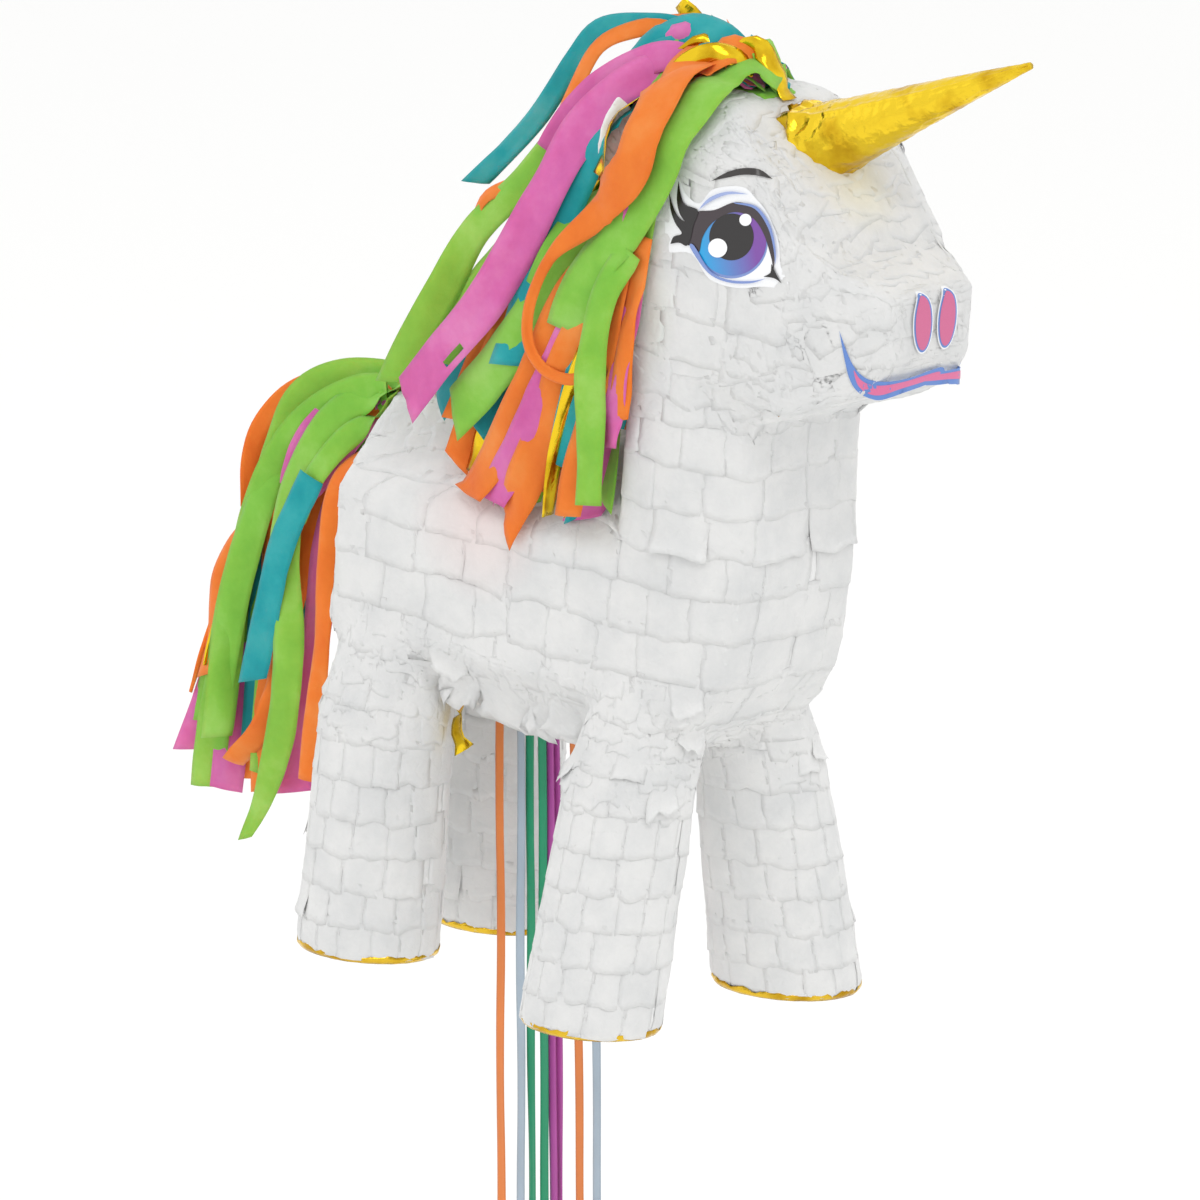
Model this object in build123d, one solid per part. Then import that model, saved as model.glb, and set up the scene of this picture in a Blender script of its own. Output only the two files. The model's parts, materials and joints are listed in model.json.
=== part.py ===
from build123d import *
from math import cos, radians, sin, tan
import os

# A pull-ribbon pinata shaped as a standing unicorn: board shell, paper-tube legs, foil horn,
# streamer mane and tail, and a trap door in the belly that the ribbons pull open.
# Lengths are millimetres. "Standing" places have x forward and z up from the soles, with x = 0
# between the feet. hung() carries them to the frame as it hangs, with the origin in the hanging eye.

# Overall
hang_pitch = 5.5  # the heavy head pulls the nose down by this many degrees
board = 3.0  # corrugated board
tissue = 1.0  # layered tissue over the board
gap = 0.4  # play round a flap in its opening
paper = 0.5  # stickers, linings and tape
clear = 0.6  # air between streamer bundles and the shell

# Body: an eight-sided box
body_half = 56.0
side_low, shoulder_z = 164.0, 234.0  # the upright sides, up to the widest part of the chest
belly_z, belly_half = 134.0, 30.0
back_z, back_half = 274.0, 18.0
rump_x, chest_x = -126.0, 125.0
chest_back_x = 122.0  # the chest leans back above its furthest point
breast_x, breast_z = 117.0, 180.0
toe_x, toe_z = 97.0, 152.0
belly_front_x = 75.0
corner_x, chest_half = 90.0, 41.5  # the cut corners of chest and neck, seen from above

# Neck
nape_x, nape_half = 37.0, 30.0
nape_corner_x = 57.0
neck_sink = 42.0  # how far the neck block runs into its neighbours before it is trimmed

# Head
head_half = 56.0
head_back_x, head_face_x = 34.0, 166.0
back_corner = 10.0
jaw_back_z, jaw_back_x, jaw_low_z, jaw_x, jaw_z = 338.0, 87.0, 320.0, 119.0, 314.0
jaw_front_x, jaw_front_z, cheek_z = 152.0, 326.0, 333.0
nape_top_z, crown_x, crown_z = 440.0, 60.0, 468.0
crown_front_x, brow_x, brow_z = 88.0, 134.0, 441.0
bridge_x, bridge_z, face_z = 153.0, 419.0, 398.0
crown_half, temple_z = 35.0, 446.0
jaw_half, cheek_low_z = 44.0, 334.0
temple_half = 40.0  # half width where the cut temples meet the brow
temple_lean = (0.72, 0.41, 0.56)  # the way the right and left temples face

# Muzzle
muzzle_x, nose_x = 150.0, 197.0
nose_half = 29.0
bridge_half, bridge_fall = 34.0, 24.0  # the rounded edges along the top of the muzzle
muzzle_top_z, nose_top_z = 408.0, 390.0
lip_z, chin_x, chin_z, muzzle_low_z = 359.0, 184.0, 341.0, 325.0

# Legs: centre x, y, height and radius of each ring from the foot up
leg_wall = 2.0
leg_rings = {
    "front_right": [(75, -75, 0, 33.5), (69, -50, 118, 30.5), (66, -30, 172, 27.0)],
    "front_left": [(77, 77, 0, 36.0), (70, 50, 118, 31.0), (66, 30, 172, 27.0)],
    "rear_right": [
        (rump_x + 34, -50, 0, 34.0), (rump_x + 29, -43, 118, 31.5), (rump_x + 29, -30, 172, 27.0)],
    "rear_left": [
        (rump_x + 34, 51, 0, 33.0), (rump_x + 29, 43, 118, 31.5), (rump_x + 29, 30, 172, 27.0)],
}
sole_thick = 1.5

# Horn
horn_length, horn_radius, horn_tip = 146.0, 20.0, 1.2
horn_rise = 27.0  # degrees above the body's length
horn_x = 118.0
foil_wall, core_wall = 0.8, 1.5

# Ears
ear_height, ear_base_half, ear_half = 50.0, 9.0, 13.0
ear_x, ear_y, ear_z = 37.0, 47.0, 414.0
ear_yaw, ear_lean = 50.0, 10.0  # turned outward and leaned outward, degrees
lining_scale, lining_rise = 0.8, 0.08  # size of the lining, and its lift, as shares of the ear
ear_room = 1.1  # the mane is cut away round a leaf this much larger than the ear

# Stickers on the face
eye_x, eye_z, eye_length, eye_height = 112.0, 406.0, 74.0, 52.0
brow_mark_x, brow_mark_z, brow_mark_length, brow_mark_height = 112.0, 440.0, 38.0, 7.0
nostril_y, nostril_z, nostril_width, nostril_height = 9.7, 376.0, 14.0, 30.0
smile_outline = [  # from the upper corner of the mouth round the lip to the chin
    (172.0, 372.0), (179.0, 372.0), (chin_x - 1, lip_z - 3), (nose_x + 4, lip_z - 3),
    (nose_x + 4, chin_z - 3), (chin_x - 4, chin_z - 3)]

# Mane: the glued band, the crest tuft and the falls
mane_band_half, mane_band_thick = 12.0, 2.0
band_x, band_z, band_length, band_height = 46.0, 448.0, 90.0, 110.0  # where the band shows
crest_half, crest_rise = 26.0, 34.0
crest_low_z = crown_z + tissue + mane_band_thick + clear
crest_back_x = head_back_x - 12
crest_outline = [
    (crest_back_x, nape_top_z + 6), (crest_back_x, crest_low_z + crest_rise - 10),
    (head_back_x + 2, crest_low_z + crest_rise - 3), (crown_x, crest_low_z + crest_rise - 14),
    (crown_front_x, crest_low_z), (crown_x - 8, crest_low_z - 4)]
fall_thick, fall_inner = 10.0, 6.0  # mane outside the head, and the parting along the neck
fall_low_z = 236.0
fall_outer = head_half + tissue + fall_thick
fall_section = [  # y and z of the right fall, seen from the front
    (-fall_inner, crown_z - fall_thick), (-fall_inner, crown_z), (-crest_half, crown_z),
    (-fall_outer, nape_top_z - 20), (-fall_outer, fall_low_z),
    (-fall_outer + fall_thick, fall_low_z), (-fall_outer + fall_thick, nape_top_z - 24),
    (-crest_half + 4, crown_z - fall_thick)]
fall_outline = [  # x and z of a fall, seen from the side
    (crest_back_x - clear, nape_top_z), (crest_back_x - clear, crown_z), (-26, crown_z - 8),
    (-62, crown_z - 68), (-100, back_z + 28), (-100, back_z + 6), (-40, back_z - 8),
    (12, fall_low_z), (50, fall_low_z + 4), (52, 370), (head_back_x - 6, 392)]

# Tail: its tie on the rump, then the bundle and its hollow as (distance behind the tie, height)
tail_tie_out, tail_tie_half, tail_tie_height = 14.0, 14.0, 20.0
tail_low_z, tail_half, tail_thick = 24.0, 32.0, 10.0
tie_rear, tie_top = rump_x - tissue - tail_tie_out, back_z - 2.0
tail_outline = [
    (0, tie_top - tail_tie_height), (0, tie_top + 6), (30, tie_top + 2), (59, tie_top - 20),
    (85, 175), (113, 76), (99, 48), (67, tail_low_z), (25, tail_low_z + 8), (5, 66), (0, 170)]
tail_hollow = [(14, 190), (49, 232), (71, 175), (97, 80), (67, 0), (25, 0), (15, 66)]
tail_spread = [  # half width and height, from the top down
    (tail_tie_half + 4, tie_top + 10), (tail_half - 8, shoulder_z - 20), (tail_half, 80),
    (tail_half - 6, tail_low_z)]

# Filling flap in the back, and its opening
fill_x, fill_length, fill_half = -66.0, 58.0, 13.0
# Trap door in the belly
door_front_x, door_length, door_half = 20.0, 84.0, 24.0
tape_width = 9.0

# Hanging eye of bent wire, with a plate that spreads its load inside
wire = 1.25  # wire radius
eye_ring = 8.0  # radius to the middle of the wire
eye_stand = 4.0  # bare stem above the back
eye_place_x = 20.0
plate_length, plate_half = 64.0, 14.0
bar_half = 11.0
stem_radius = 2.0  # the two ends of the wire, twisted together
wire_room = 2 * wire + gap
hanging_eye_z = back_z + eye_stand + eye_ring

# Pull ribbons: cut ribbon that hangs free from knots under the trap door
ribbon_width, ribbon_thick = 5.0, 0.5
knot_drop, knot_radius, knot_thick, knot_stalk = 4.0, 1.6, 1.7, 1.6
ribbon_start = knot_radius + gap  # below the knot's middle
# Each tail: its knot (x along the door, y across it), and its route as (sideways, height)
ribbon_routes = {
    "ribbon_orange_rear": ((-54.0, -7.0), [
        (0, 0), (-0.6, -50), (1.2, -112), (-0.3, -180), (1.4, -250),
        (0.2, -318), (1.6, -386), (0.6, -450), (1.8, -510), (1.0, -560)]),
    "ribbon_silver_rear": ((-42.0, -5.0), [
        (0, 0), (0.9, -54), (-0.7, -120), (0.8, -186), (-0.4, -252),
        (1.1, -322), (-0.5, -390), (0.6, -452), (-0.8, -508), (0.2, -556)]),
    "ribbon_green_rear": ((-37.5, -3.0), [
        (0, 0), (-0.5, -46), (1.0, -104), (0.2, -170), (1.8, -240),
        (0.8, -310), (2.4, -378), (1.4, -444), (2.8, -504), (2.0, -556)]),
    "ribbon_green_front": ((-31.5, -1.0), [
        (0, 0), (1.1, -52), (0.3, -114), (2.0, -182), (1.4, -248),
        (3.2, -316), (2.6, -382), (4.2, -446), (3.4, -506), (4.6, -560)]),
    "ribbon_magenta_rear": ((-28.0, 1.0), [
        (0, 0), (0.4, -48), (1.8, -108), (1.2, -174), (3.0, -242),
        (2.4, -312), (4.2, -380), (3.4, -446), (4.8, -506), (4.0, -558)]),
    "ribbon_magenta_front": ((-26.0, 3.0), [
        (0, 0), (1.6, -54), (1.0, -118), (2.8, -184), (2.2, -252),
        (3.8, -320), (3.0, -386), (4.4, -450), (3.6, -510), (4.6, -560)]),
    "ribbon_orange_front": ((-16.0, 5.0), [
        (0, 0), (2.2, -52), (2.0, -116), (4.4, -184), (4.2, -252),
        (6.4, -320), (6.0, -388), (7.8, -452), (7.2, -508), (8.6, -556)]),
    "ribbon_silver_front": ((-5.0, 7.0), [
        (0, 0), (1.8, -50), (1.4, -112), (3.2, -180), (2.8, -250),
        (4.6, -320), (4.0, -388), (5.6, -452), (4.8, -512), (6.2, -560)]),
}


def along_y(outline):
    """Half-spaces of a convex x-z outline that runs clockwise, seen with x right and z up."""
    ends = outline[1:] + outline[:1]
    return [(Vector(x, 0, z), Vector(z - w, 0, u - x)) for (x, z), (u, w) in zip(outline, ends)]


def along_x(outline):
    """Half-spaces of a convex y-z outline that runs clockwise, seen with y right and z up."""
    ends = outline[1:] + outline[:1]
    return [(Vector(0, y, z), Vector(0, z - w, u - y)) for (y, z), (u, w) in zip(outline, ends)]


def along_z(outline):
    """Half-spaces of a convex x-y outline that runs clockwise, seen with x right and y up."""
    ends = outline[1:] + outline[:1]
    return [(Vector(x, y, 0), Vector(y - w, u - x, 0)) for (x, y), (u, w) in zip(outline, ends)]


def both_sides(half_outline):
    """A y-z outline from its right half (y > 0), given from the top down, as one closed ring."""
    return half_outline + [(-y, z) for y, z in reversed(half_outline)]


def block(cuts, grow=0.0):
    """The convex solid inside all the half-spaces, each moved out by grow."""
    reach = 4 * (nose_x - rump_x)
    solid = Box(reach, reach, reach)
    for point, normal in cuts:
        outward = normal.normalized()
        solid = split(solid, Plane(origin=point + outward * grow, z_dir=outward), keep=Keep.BOTTOM)
    return solid


def prism_y(outline, low_y, high_y):
    """An x-z outline given thickness along y."""
    face = make_face(Polyline([(x, low_y, z) for x, z in outline], close=True))
    return extrude(face, amount=high_y - low_y, dir=(0, 1, 0))


def prism_x(outline, low_x, high_x):
    """A y-z outline given thickness along x."""
    face = make_face(Polyline([(low_x, y, z) for y, z in outline], close=True))
    return extrude(face, amount=high_x - low_x, dir=(1, 0, 0))


def boards(solid, wanted, wall=board):
    """The board behind each wanted flat face, mitred towards the middle, as one folded sheet."""
    middle = solid.center(CenterOf.BOUNDING_BOX)
    sheet = None
    for face in solid.faces():
        normal = face.normal_at()
        if not wanted(normal):
            continue
        wedge = loft([face, Vertex(*middle)], ruled=True)
        inner = Plane(origin=face.center() - normal * wall, z_dir=normal)
        facet = split(wedge, inner, keep=Keep.TOP)
        sheet = facet if sheet is None else sheet + facet
    return sheet


def mirrored(shape):
    return mirror(shape, about=Plane.XZ)


def group(shapes):
    """Separate solids kept in one node."""
    return Compound(children=[solid for shape in shapes for solid in shape.solids()])


def in_front(x, start, end):
    """Height at x on the line from start to end, both (x, z)."""
    return start[1] + (x - start[0]) * (end[1] - start[1]) / (end[0] - start[0])


# Outlines of the shell. The cut corners of the chest run on up the neck.
corner_fall = (body_half - chest_half) / (chest_x - corner_x)
corner_reach = chest_x + board
corner_half = body_half - corner_fall * (corner_reach - corner_x)
body_cuts = (
    along_y([
        (rump_x, belly_z), (rump_x, back_z), (chest_back_x, back_z), (chest_x, shoulder_z),
        (breast_x, breast_z), (toe_x, toe_z), (belly_front_x, belly_z)])
    + along_x(both_sides([
        (back_half, back_z), (body_half, shoulder_z), (body_half, side_low), (belly_half, belly_z)]))
    + along_z([
        (rump_x, -body_half), (rump_x, body_half), (corner_x, body_half),
        (corner_reach, corner_half), (corner_reach, -corner_half), (corner_x, -body_half)])
)
neck_high = jaw_z + neck_sink
chest_lean = (chest_x - chest_back_x) / (back_z - shoulder_z)
neck_cuts = (
    along_y([
        (nape_x, shoulder_z), (nape_x, neck_high),
        (chest_x - chest_lean * (neck_high - shoulder_z), neck_high),
        (chest_x, shoulder_z)])
    + along_z([
        (nape_x, -nape_half), (nape_x, nape_half), (nape_corner_x, body_half),
        (corner_x, body_half), (corner_reach, corner_half), (corner_reach, -corner_half),
        (corner_x, -body_half), (nape_corner_x, -body_half)])
)
temple_cuts = [
    (Vector(brow_x, -temple_half, brow_z), Vector(temple_lean[0], -temple_lean[1], temple_lean[2])),
    (Vector(brow_x, temple_half, brow_z), Vector(*temple_lean)),
]
cheek_fall = (head_half - nose_half) / (nose_x - muzzle_x)  # how fast the cheeks close on the nose
face_half = head_half - cheek_fall * (head_face_x - muzzle_x)
head_cuts = (
    along_y([
        (head_back_x, jaw_back_z), (head_back_x, nape_top_z), (crown_x, crown_z),
        (crown_front_x, crown_z), (brow_x, brow_z), (bridge_x, bridge_z), (head_face_x, face_z),
        (head_face_x, cheek_z), (jaw_front_x, jaw_front_z), (jaw_x, jaw_z), (jaw_back_x, jaw_low_z)])
    + along_x(both_sides([
        (crown_half, crown_z), (head_half, temple_z), (head_half, cheek_low_z), (jaw_half, jaw_z)]))
    + along_z([
        (head_back_x, back_corner - head_half), (head_back_x, head_half - back_corner),
        (head_back_x + back_corner, head_half), (muzzle_x, head_half), (head_face_x, face_half),
        (head_face_x, -face_half), (muzzle_x, -head_half), (head_back_x + back_corner, -head_half)])
    + temple_cuts
)
muzzle_cuts = (
    along_y([
        (muzzle_x, muzzle_low_z), (muzzle_x, muzzle_top_z), (nose_x - 1.0, nose_top_z),
        (nose_x, lip_z), (chin_x, chin_z)])
    + along_x(both_sides([
        (bridge_half, muzzle_top_z), (head_half, muzzle_top_z - bridge_fall),
        (head_half, muzzle_low_z)]))
    + along_z([
        (muzzle_x, -head_half), (muzzle_x, head_half), (nose_x, nose_half), (nose_x, -nose_half)])
)

body_block, body_skin = block(body_cuts), block(body_cuts, tissue)
neck_block, neck_skin = block(neck_cuts), block(neck_cuts, tissue)
head_block, head_skin = block(head_cuts), block(head_cuts, tissue)
muzzle_block, muzzle_skin = block(muzzle_cuts), block(muzzle_cuts, tissue)
door_x = door_front_x - door_length / 2


def body_shell():
    """The six boards of the body, with the openings for the two flaps and the hanging wire."""
    right = boards(body_block, lambda n: n.Y < -0.5 and abs(n.X) < 0.1)
    back = boards(body_block, lambda n: n.Z > 0.95)
    belly = boards(body_block, lambda n: n.Z < -0.95)
    fill_hole = Pos(fill_x, 0, back_z) * Box(fill_length, 2 * fill_half, 4 * board)
    wire_hole = Pos(eye_place_x, 0, back_z) * Cylinder(wire_room, 4 * board)
    door_hole = Pos(door_x, 0, belly_z) * Box(door_length, 2 * door_half, 4 * board)
    return {
        "right_flank_board": right,
        "left_flank_board": mirrored(right),
        "back_board": back - fill_hole - wire_hole,
        "belly_board": belly - door_hole,
        "rump_board": boards(body_block, lambda n: n.X < -0.5),
        "chest_board": boards(body_block, lambda n: n.X > 0.3 and n.Z < 0.5),
    }


def neck_shell():
    right = boards(neck_block, lambda n: n.Y < -0.3 and abs(n.Z) < 0.5)
    parts = {
        "neck_right_board": right,
        "neck_left_board": mirrored(right),
        "throat_board": boards(neck_block, lambda n: n.X > 0.9),
        "neck_nape_board": boards(neck_block, lambda n: n.X < -0.9),
    }
    return {name: shape - body_block - head_block for name, shape in parts.items()}


def head_shell():
    right = boards(head_block, lambda n: n.Y < -0.35)
    muzzle = muzzle_block - block(muzzle_cuts, -board) - head_block
    nose_back = Plane((nose_x - board - 1.0, 0, 0), z_dir=(1, 0, 0))
    return {
        "head_right_board": right,
        "head_left_board": mirrored(right),
        "crown_board": boards(head_block, lambda n: n.Z > 0.6 and abs(n.Y) < 0.1),
        "face_board": boards(head_block, lambda n: n.X > 0.8 and abs(n.Y) < 0.1),
        "head_nape_board": boards(head_block, lambda n: n.X < -0.9),
        "jaw_board": boards(head_block, lambda n: n.Z < -0.6 and abs(n.Y) < 0.1),
        "muzzle_board": split(muzzle, nose_back, keep=Keep.BOTTOM),
        "nose_board": split(muzzle, nose_back, keep=Keep.TOP),
    }


def leg_stack(rings, grow):
    """The solid inside a leg's rings, each grown by the same amount."""
    return loft([Plane((x, y, z)) * Circle(r + grow) for x, y, z, r in rings], ruled=True)


def legs():
    """Four paper tubes trimmed to the body, their tissue, and the foil-covered card soles."""
    above_sole = Plane((0, 0, sole_thick))
    parts, wraps, soles, full = {}, [], [], []
    for place, rings in leg_rings.items():
        solid, outer = leg_stack(rings, 0), leg_stack(rings, tissue)
        tube = split(solid - leg_stack(rings, -leg_wall) - body_block, above_sole, keep=Keep.TOP)
        wrap = split(outer - solid - body_skin, above_sole, keep=Keep.TOP)
        sole = split(outer, above_sole, keep=Keep.BOTTOM)
        parts[f"{place}_leg"] = tube
        wraps.append(wrap)
        soles.append(sole)
        full.append(solid)
    return {**parts, "leg_tissues": group(wraps), "sole_discs": group(soles)}, full


def tissue_cover(leg_solids):
    """The layered tissue over the boards, open at the trap door and at the filling flap."""
    window = tape_width + 3 * paper
    door_window = Pos(door_x + window / 2, 0, belly_z) * Box(
        door_length + window + 2 * gap, 2 * (door_half + gap), 4 * board)
    fill_window = Pos(fill_x - window / 2, 0, back_z) * Box(
        fill_length + window + 2 * gap, 2 * (fill_half + gap), 4 * board)
    wire_window = Pos(eye_place_x, 0, back_z) * Cylinder(wire_room, 4 * board)
    body = body_skin + neck_skin - body_block - neck_block - head_skin
    body = body - door_window - fill_window - wire_window
    for solid in leg_solids:
        body = body - solid
    head = head_skin + muzzle_skin - head_block - muzzle_block - neck_block
    return {"body_tissue": body, "head_tissue": head}


def horn():
    """A foil-covered paper cone, trimmed to the forehead."""
    base_z = in_front(horn_x, (crown_front_x, crown_z), (brow_x, brow_z))
    flare = (horn_radius - horn_tip) / horn_length  # radius lost for each millimetre of length
    sink = 2 * horn_radius  # the cones start inside the head
    rise = radians(horn_rise)
    axis = Plane((horn_x, 0, base_z), z_dir=(cos(rise), 0, sin(rise)))

    def cone(inset):
        length = horn_length + sink - inset / flare
        low = horn_radius + flare * sink - inset
        return axis * Pos(0, 0, length / 2 - sink) * Cone(low, horn_tip, length)

    foil = cone(0) - cone(foil_wall) - head_skin
    core = cone(foil_wall) - cone(foil_wall + core_wall) - head_skin
    return foil, core


def ear():
    """The right ear, a leaf of board with a pink lining on its front, and its room in the mane."""
    right = [(ear_base_half, 0), (ear_half, 0.4 * ear_height), (0, ear_height)]
    left = [(-x, z) for x, z in reversed(right)]
    leaf = make_face(ThreePointArc(*right) + ThreePointArc(*left) + Line(left[-1], right[0]))
    yaw, lean = radians(ear_yaw), radians(ear_lean)
    facing = Vector(cos(yaw), -sin(yaw), 0)
    across = Vector(sin(yaw) * cos(lean), cos(yaw) * cos(lean), sin(lean))
    root = Plane((ear_x, -ear_y, ear_z), x_dir=across, z_dir=facing)
    shell = extrude(root * leaf, amount=-board) - head_skin
    inset = root * Pos(0, lining_rise * ear_height, 0) * scale(leaf, lining_scale)
    lining = extrude(inset, amount=paper) - head_skin
    room = extrude(root * Pos(0, 0, clear) * scale(leaf, ear_room), amount=-(board + 2 * clear))
    return shell, lining, room


def stickers():
    """Thin printed stickers that follow the flats of the head and muzzle."""
    side = Plane((0, 0, 0), x_dir=(1, 0, 0), z_dir=(0, -1, 0))
    head_paper = block(head_cuts, tissue + paper) - head_skin - muzzle_skin
    muzzle_paper = block(muzzle_cuts, tissue + paper) - muzzle_skin - head_skin

    def on_side(x, z, length, height):
        outline = side * Pos(x, z) * Ellipse(length / 2, height / 2)
        return head_paper & extrude(outline, amount=2 * head_half)

    eye = on_side(eye_x, eye_z, eye_length, eye_height)
    brow = on_side(brow_mark_x, brow_mark_z, brow_mark_length, brow_mark_height)
    front = Plane((0, 0, 0), x_dir=(0, 1, 0), z_dir=(1, 0, 0))
    outline = front * Pos(-nostril_y, nostril_z) * Ellipse(nostril_width / 2, nostril_height / 2)
    nostril = muzzle_paper & extrude(outline, amount=2 * nose_x)
    smile = prism_y(smile_outline, -head_half, head_half)
    return {
        "right_eye_sticker": eye,
        "left_eye_sticker": mirrored(eye),
        "brow_stickers": group([brow, mirrored(brow)]),
        "nostril_stickers": group([nostril, mirrored(nostril)]),
        "mouth_sticker": muzzle_paper & smile,
    }


def mane(ear_space):
    """The glued band along the crest and the bundles of streamers that fall from it."""
    reach = Pos(band_x, 0, band_z) * Box(band_length, 2 * mane_band_half, band_height)
    band_skin = block(head_cuts, tissue + mane_band_thick)
    air = block(head_cuts, tissue + mane_band_thick + clear)
    band = (band_skin - head_skin) & reach
    crest = prism_y(crest_outline, -crest_half, crest_half) - air
    section = prism_x(fall_section, rump_x, jaw_back_x)
    drape = prism_y(fall_outline, -2 * fall_outer, 0)
    right = (section & drape) - block(body_cuts, tissue + clear) - block(neck_cuts, tissue + clear)
    return band, crest, right - air - ear_space


def tail():
    """The tie glued to the top of the rump and the streamers that spill from it."""
    tie = Pos(tie_rear + tail_tie_out / 2, 0, tie_top - tail_tie_height / 2) * Box(
        tail_tie_out, 2 * tail_tie_half, tail_tie_height)
    inner_half = tail_half - tail_thick
    bundle = prism_y([(tie_rear - x, z) for x, z in tail_outline], -tail_half, tail_half)
    spread = prism_x(both_sides(tail_spread), 3 * rump_x, rump_x)
    hollow = prism_y([(tie_rear - x, z) for x, z in tail_hollow], -inner_half, inner_half)
    return tie, (bundle & spread) - hollow


def trap_door():
    """The belly flap, the tape that hinges it, and the knots that the ribbons hang from."""
    door = Pos(door_x, 0, belly_z + board / 2) * Box(
        door_length - 2 * gap, 2 * (door_half - gap), board)
    strip = Box(tape_width, 2 * (door_half - gap), paper)
    fixed = Pos(door_front_x + paper + tape_width / 2, 0, belly_z - paper / 2) * strip
    moving = Pos(door_front_x - paper - tape_width / 2, 0, belly_z - paper / 2) * strip
    knots = []
    for (x, y), _ in ribbon_routes.values():
        bead = Pos(x, y, belly_z - knot_drop) * Rot(90, 0, 0) * Cylinder(knot_radius, knot_thick)
        stalk = Pos(x, y, belly_z - knot_drop / 2) * Box(knot_stalk, knot_thick, knot_drop)
        knots.append(bead + stalk)
    return door, fixed, moving, group(knots)


def fill_flap():
    """The perforated flap in the back that folds inwards for filling, and its tape."""
    flap = Pos(fill_x, 0, back_z - board / 2) * Box(
        fill_length - 2 * gap, 2 * (fill_half - gap), board)
    rear = fill_x - fill_length / 2
    tape = Pos(rear - paper - tape_width / 2, 0, back_z + paper / 2) * Box(
        tape_width, 2 * (fill_half - gap), paper)
    return flap, tape


def hanger():
    """The bent-wire eye that carries the pinata, and the board that spreads its pull inside."""
    plate_z = back_z - 1.5 * board
    plate = Pos(eye_place_x, 0, plate_z) * Box(plate_length, 2 * plate_half, board)
    plate -= Pos(eye_place_x, 0, plate_z) * Cylinder(wire_room, 2 * board)
    ring = Pos(eye_place_x, 0, hanging_eye_z) * Rot(90, 0, 0) * Torus(eye_ring, wire)
    bar_z = plate_z - board / 2 - wire
    foot = hanging_eye_z - eye_ring
    stem = Pos(eye_place_x, 0, (foot + bar_z) / 2) * Cylinder(stem_radius, foot - bar_z)
    bar = Pos(eye_place_x, 0, bar_z) * Rot(90, 0, 0) * Cylinder(wire, 2 * bar_half)
    return ring + stem + bar, plate


def hung(shape):
    """A standing shape as it hangs: the eye at the origin and the nose pitched down."""
    return Rot(0, hang_pitch, 0) * (Pos(-eye_place_x, 0, -hanging_eye_z) * shape)


def hung_point(x, y, z):
    """Where a standing point is as it hangs."""
    u, w, a = x - eye_place_x, z - hanging_eye_z, radians(hang_pitch)
    return Vector(u * cos(a) + w * sin(a), y, -u * sin(a) + w * cos(a))


def arc_radii(points):
    """The largest arc at each inner point of a route: 0.45 of the shorter run there."""
    radii = []
    for a, b, c in zip(points, points[1:], points[2:]):
        before, after = b - a, c - b
        half_turn = radians(before.get_angle(after)) / 2
        radii.append(0.45 * min(before.length, after.length) / tan(half_turn))
    return radii


def ribbon(name, knot, route):
    """One free-hanging tail, as a plain band along straight runs and tangent arcs."""
    top = hung_point(*knot, belly_z - knot_drop)
    points = [Vector(top.X + x, 0, top.Z - ribbon_start + z) for x, z in route]
    radii = arc_radii(points)
    line = FilletPolyline(*[(p.X, p.Z) for p in points], radius=radii)
    side = Plane((0, top.Y + ribbon_thick / 2, 0), x_dir=(1, 0, 0), z_dir=(0, -1, 0))
    solid = extrude(side * trace(line, ribbon_width), amount=ribbon_thick)
    share = solid.volume / (line.length * ribbon_width * ribbon_thick)
    print(name, "length", round(line.length), "volume share", round(share, 4), "radii",
          [round(r) for r in radii])
    return solid


def write(name, shape):
    solids = shape.solids()
    export_step(solids[0] if len(solids) == 1 else group([shape]), f"parts/{name}.step")


os.makedirs("parts", exist_ok=True)
leg_parts, leg_solids = legs()
nodes = {**body_shell(), **neck_shell(), **head_shell(), **leg_parts, **tissue_cover(leg_solids)}
nodes["horn_foil"], nodes["horn_core"] = horn()
nodes["right_ear"], lining, ear_space = ear()
nodes["left_ear"] = mirrored(nodes["right_ear"])
nodes["ear_linings"] = group([lining, mirrored(lining)])
nodes.update(stickers())
nodes["mane_band"], nodes["mane_crest"], nodes["mane_right_fall"] = mane(ear_space)
nodes["mane_left_fall"] = mirrored(nodes["mane_right_fall"])
nodes["tail_tie"], nodes["tail_streamers"] = tail()
nodes["trap_door"], nodes["trap_tape_fixed"], nodes["trap_tape_moving"], knots = trap_door()
nodes["ribbon_knots"] = knots
nodes["fill_flap"], nodes["fill_tape"] = fill_flap()
nodes["hanging_eye"], nodes["hanger_plate"] = hanger()
for name, shape in nodes.items():
    write(name, hung(shape))
for name, (knot, route) in ribbon_routes.items():
    write(name, ribbon(name, knot, route))
    print(name, "turns about", hung_point(*knot, belly_z - knot_drop))
print("trap door turns about", hung_point(door_front_x, 0, belly_z))
print("fill flap turns about", hung_point(fill_x - fill_length / 2, 0, back_z - board))
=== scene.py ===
import json
import math
import random

import bpy
import bmesh
import numpy as np
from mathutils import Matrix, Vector, geometry, noise
from mathutils.bvhtree import BVHTree


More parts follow.
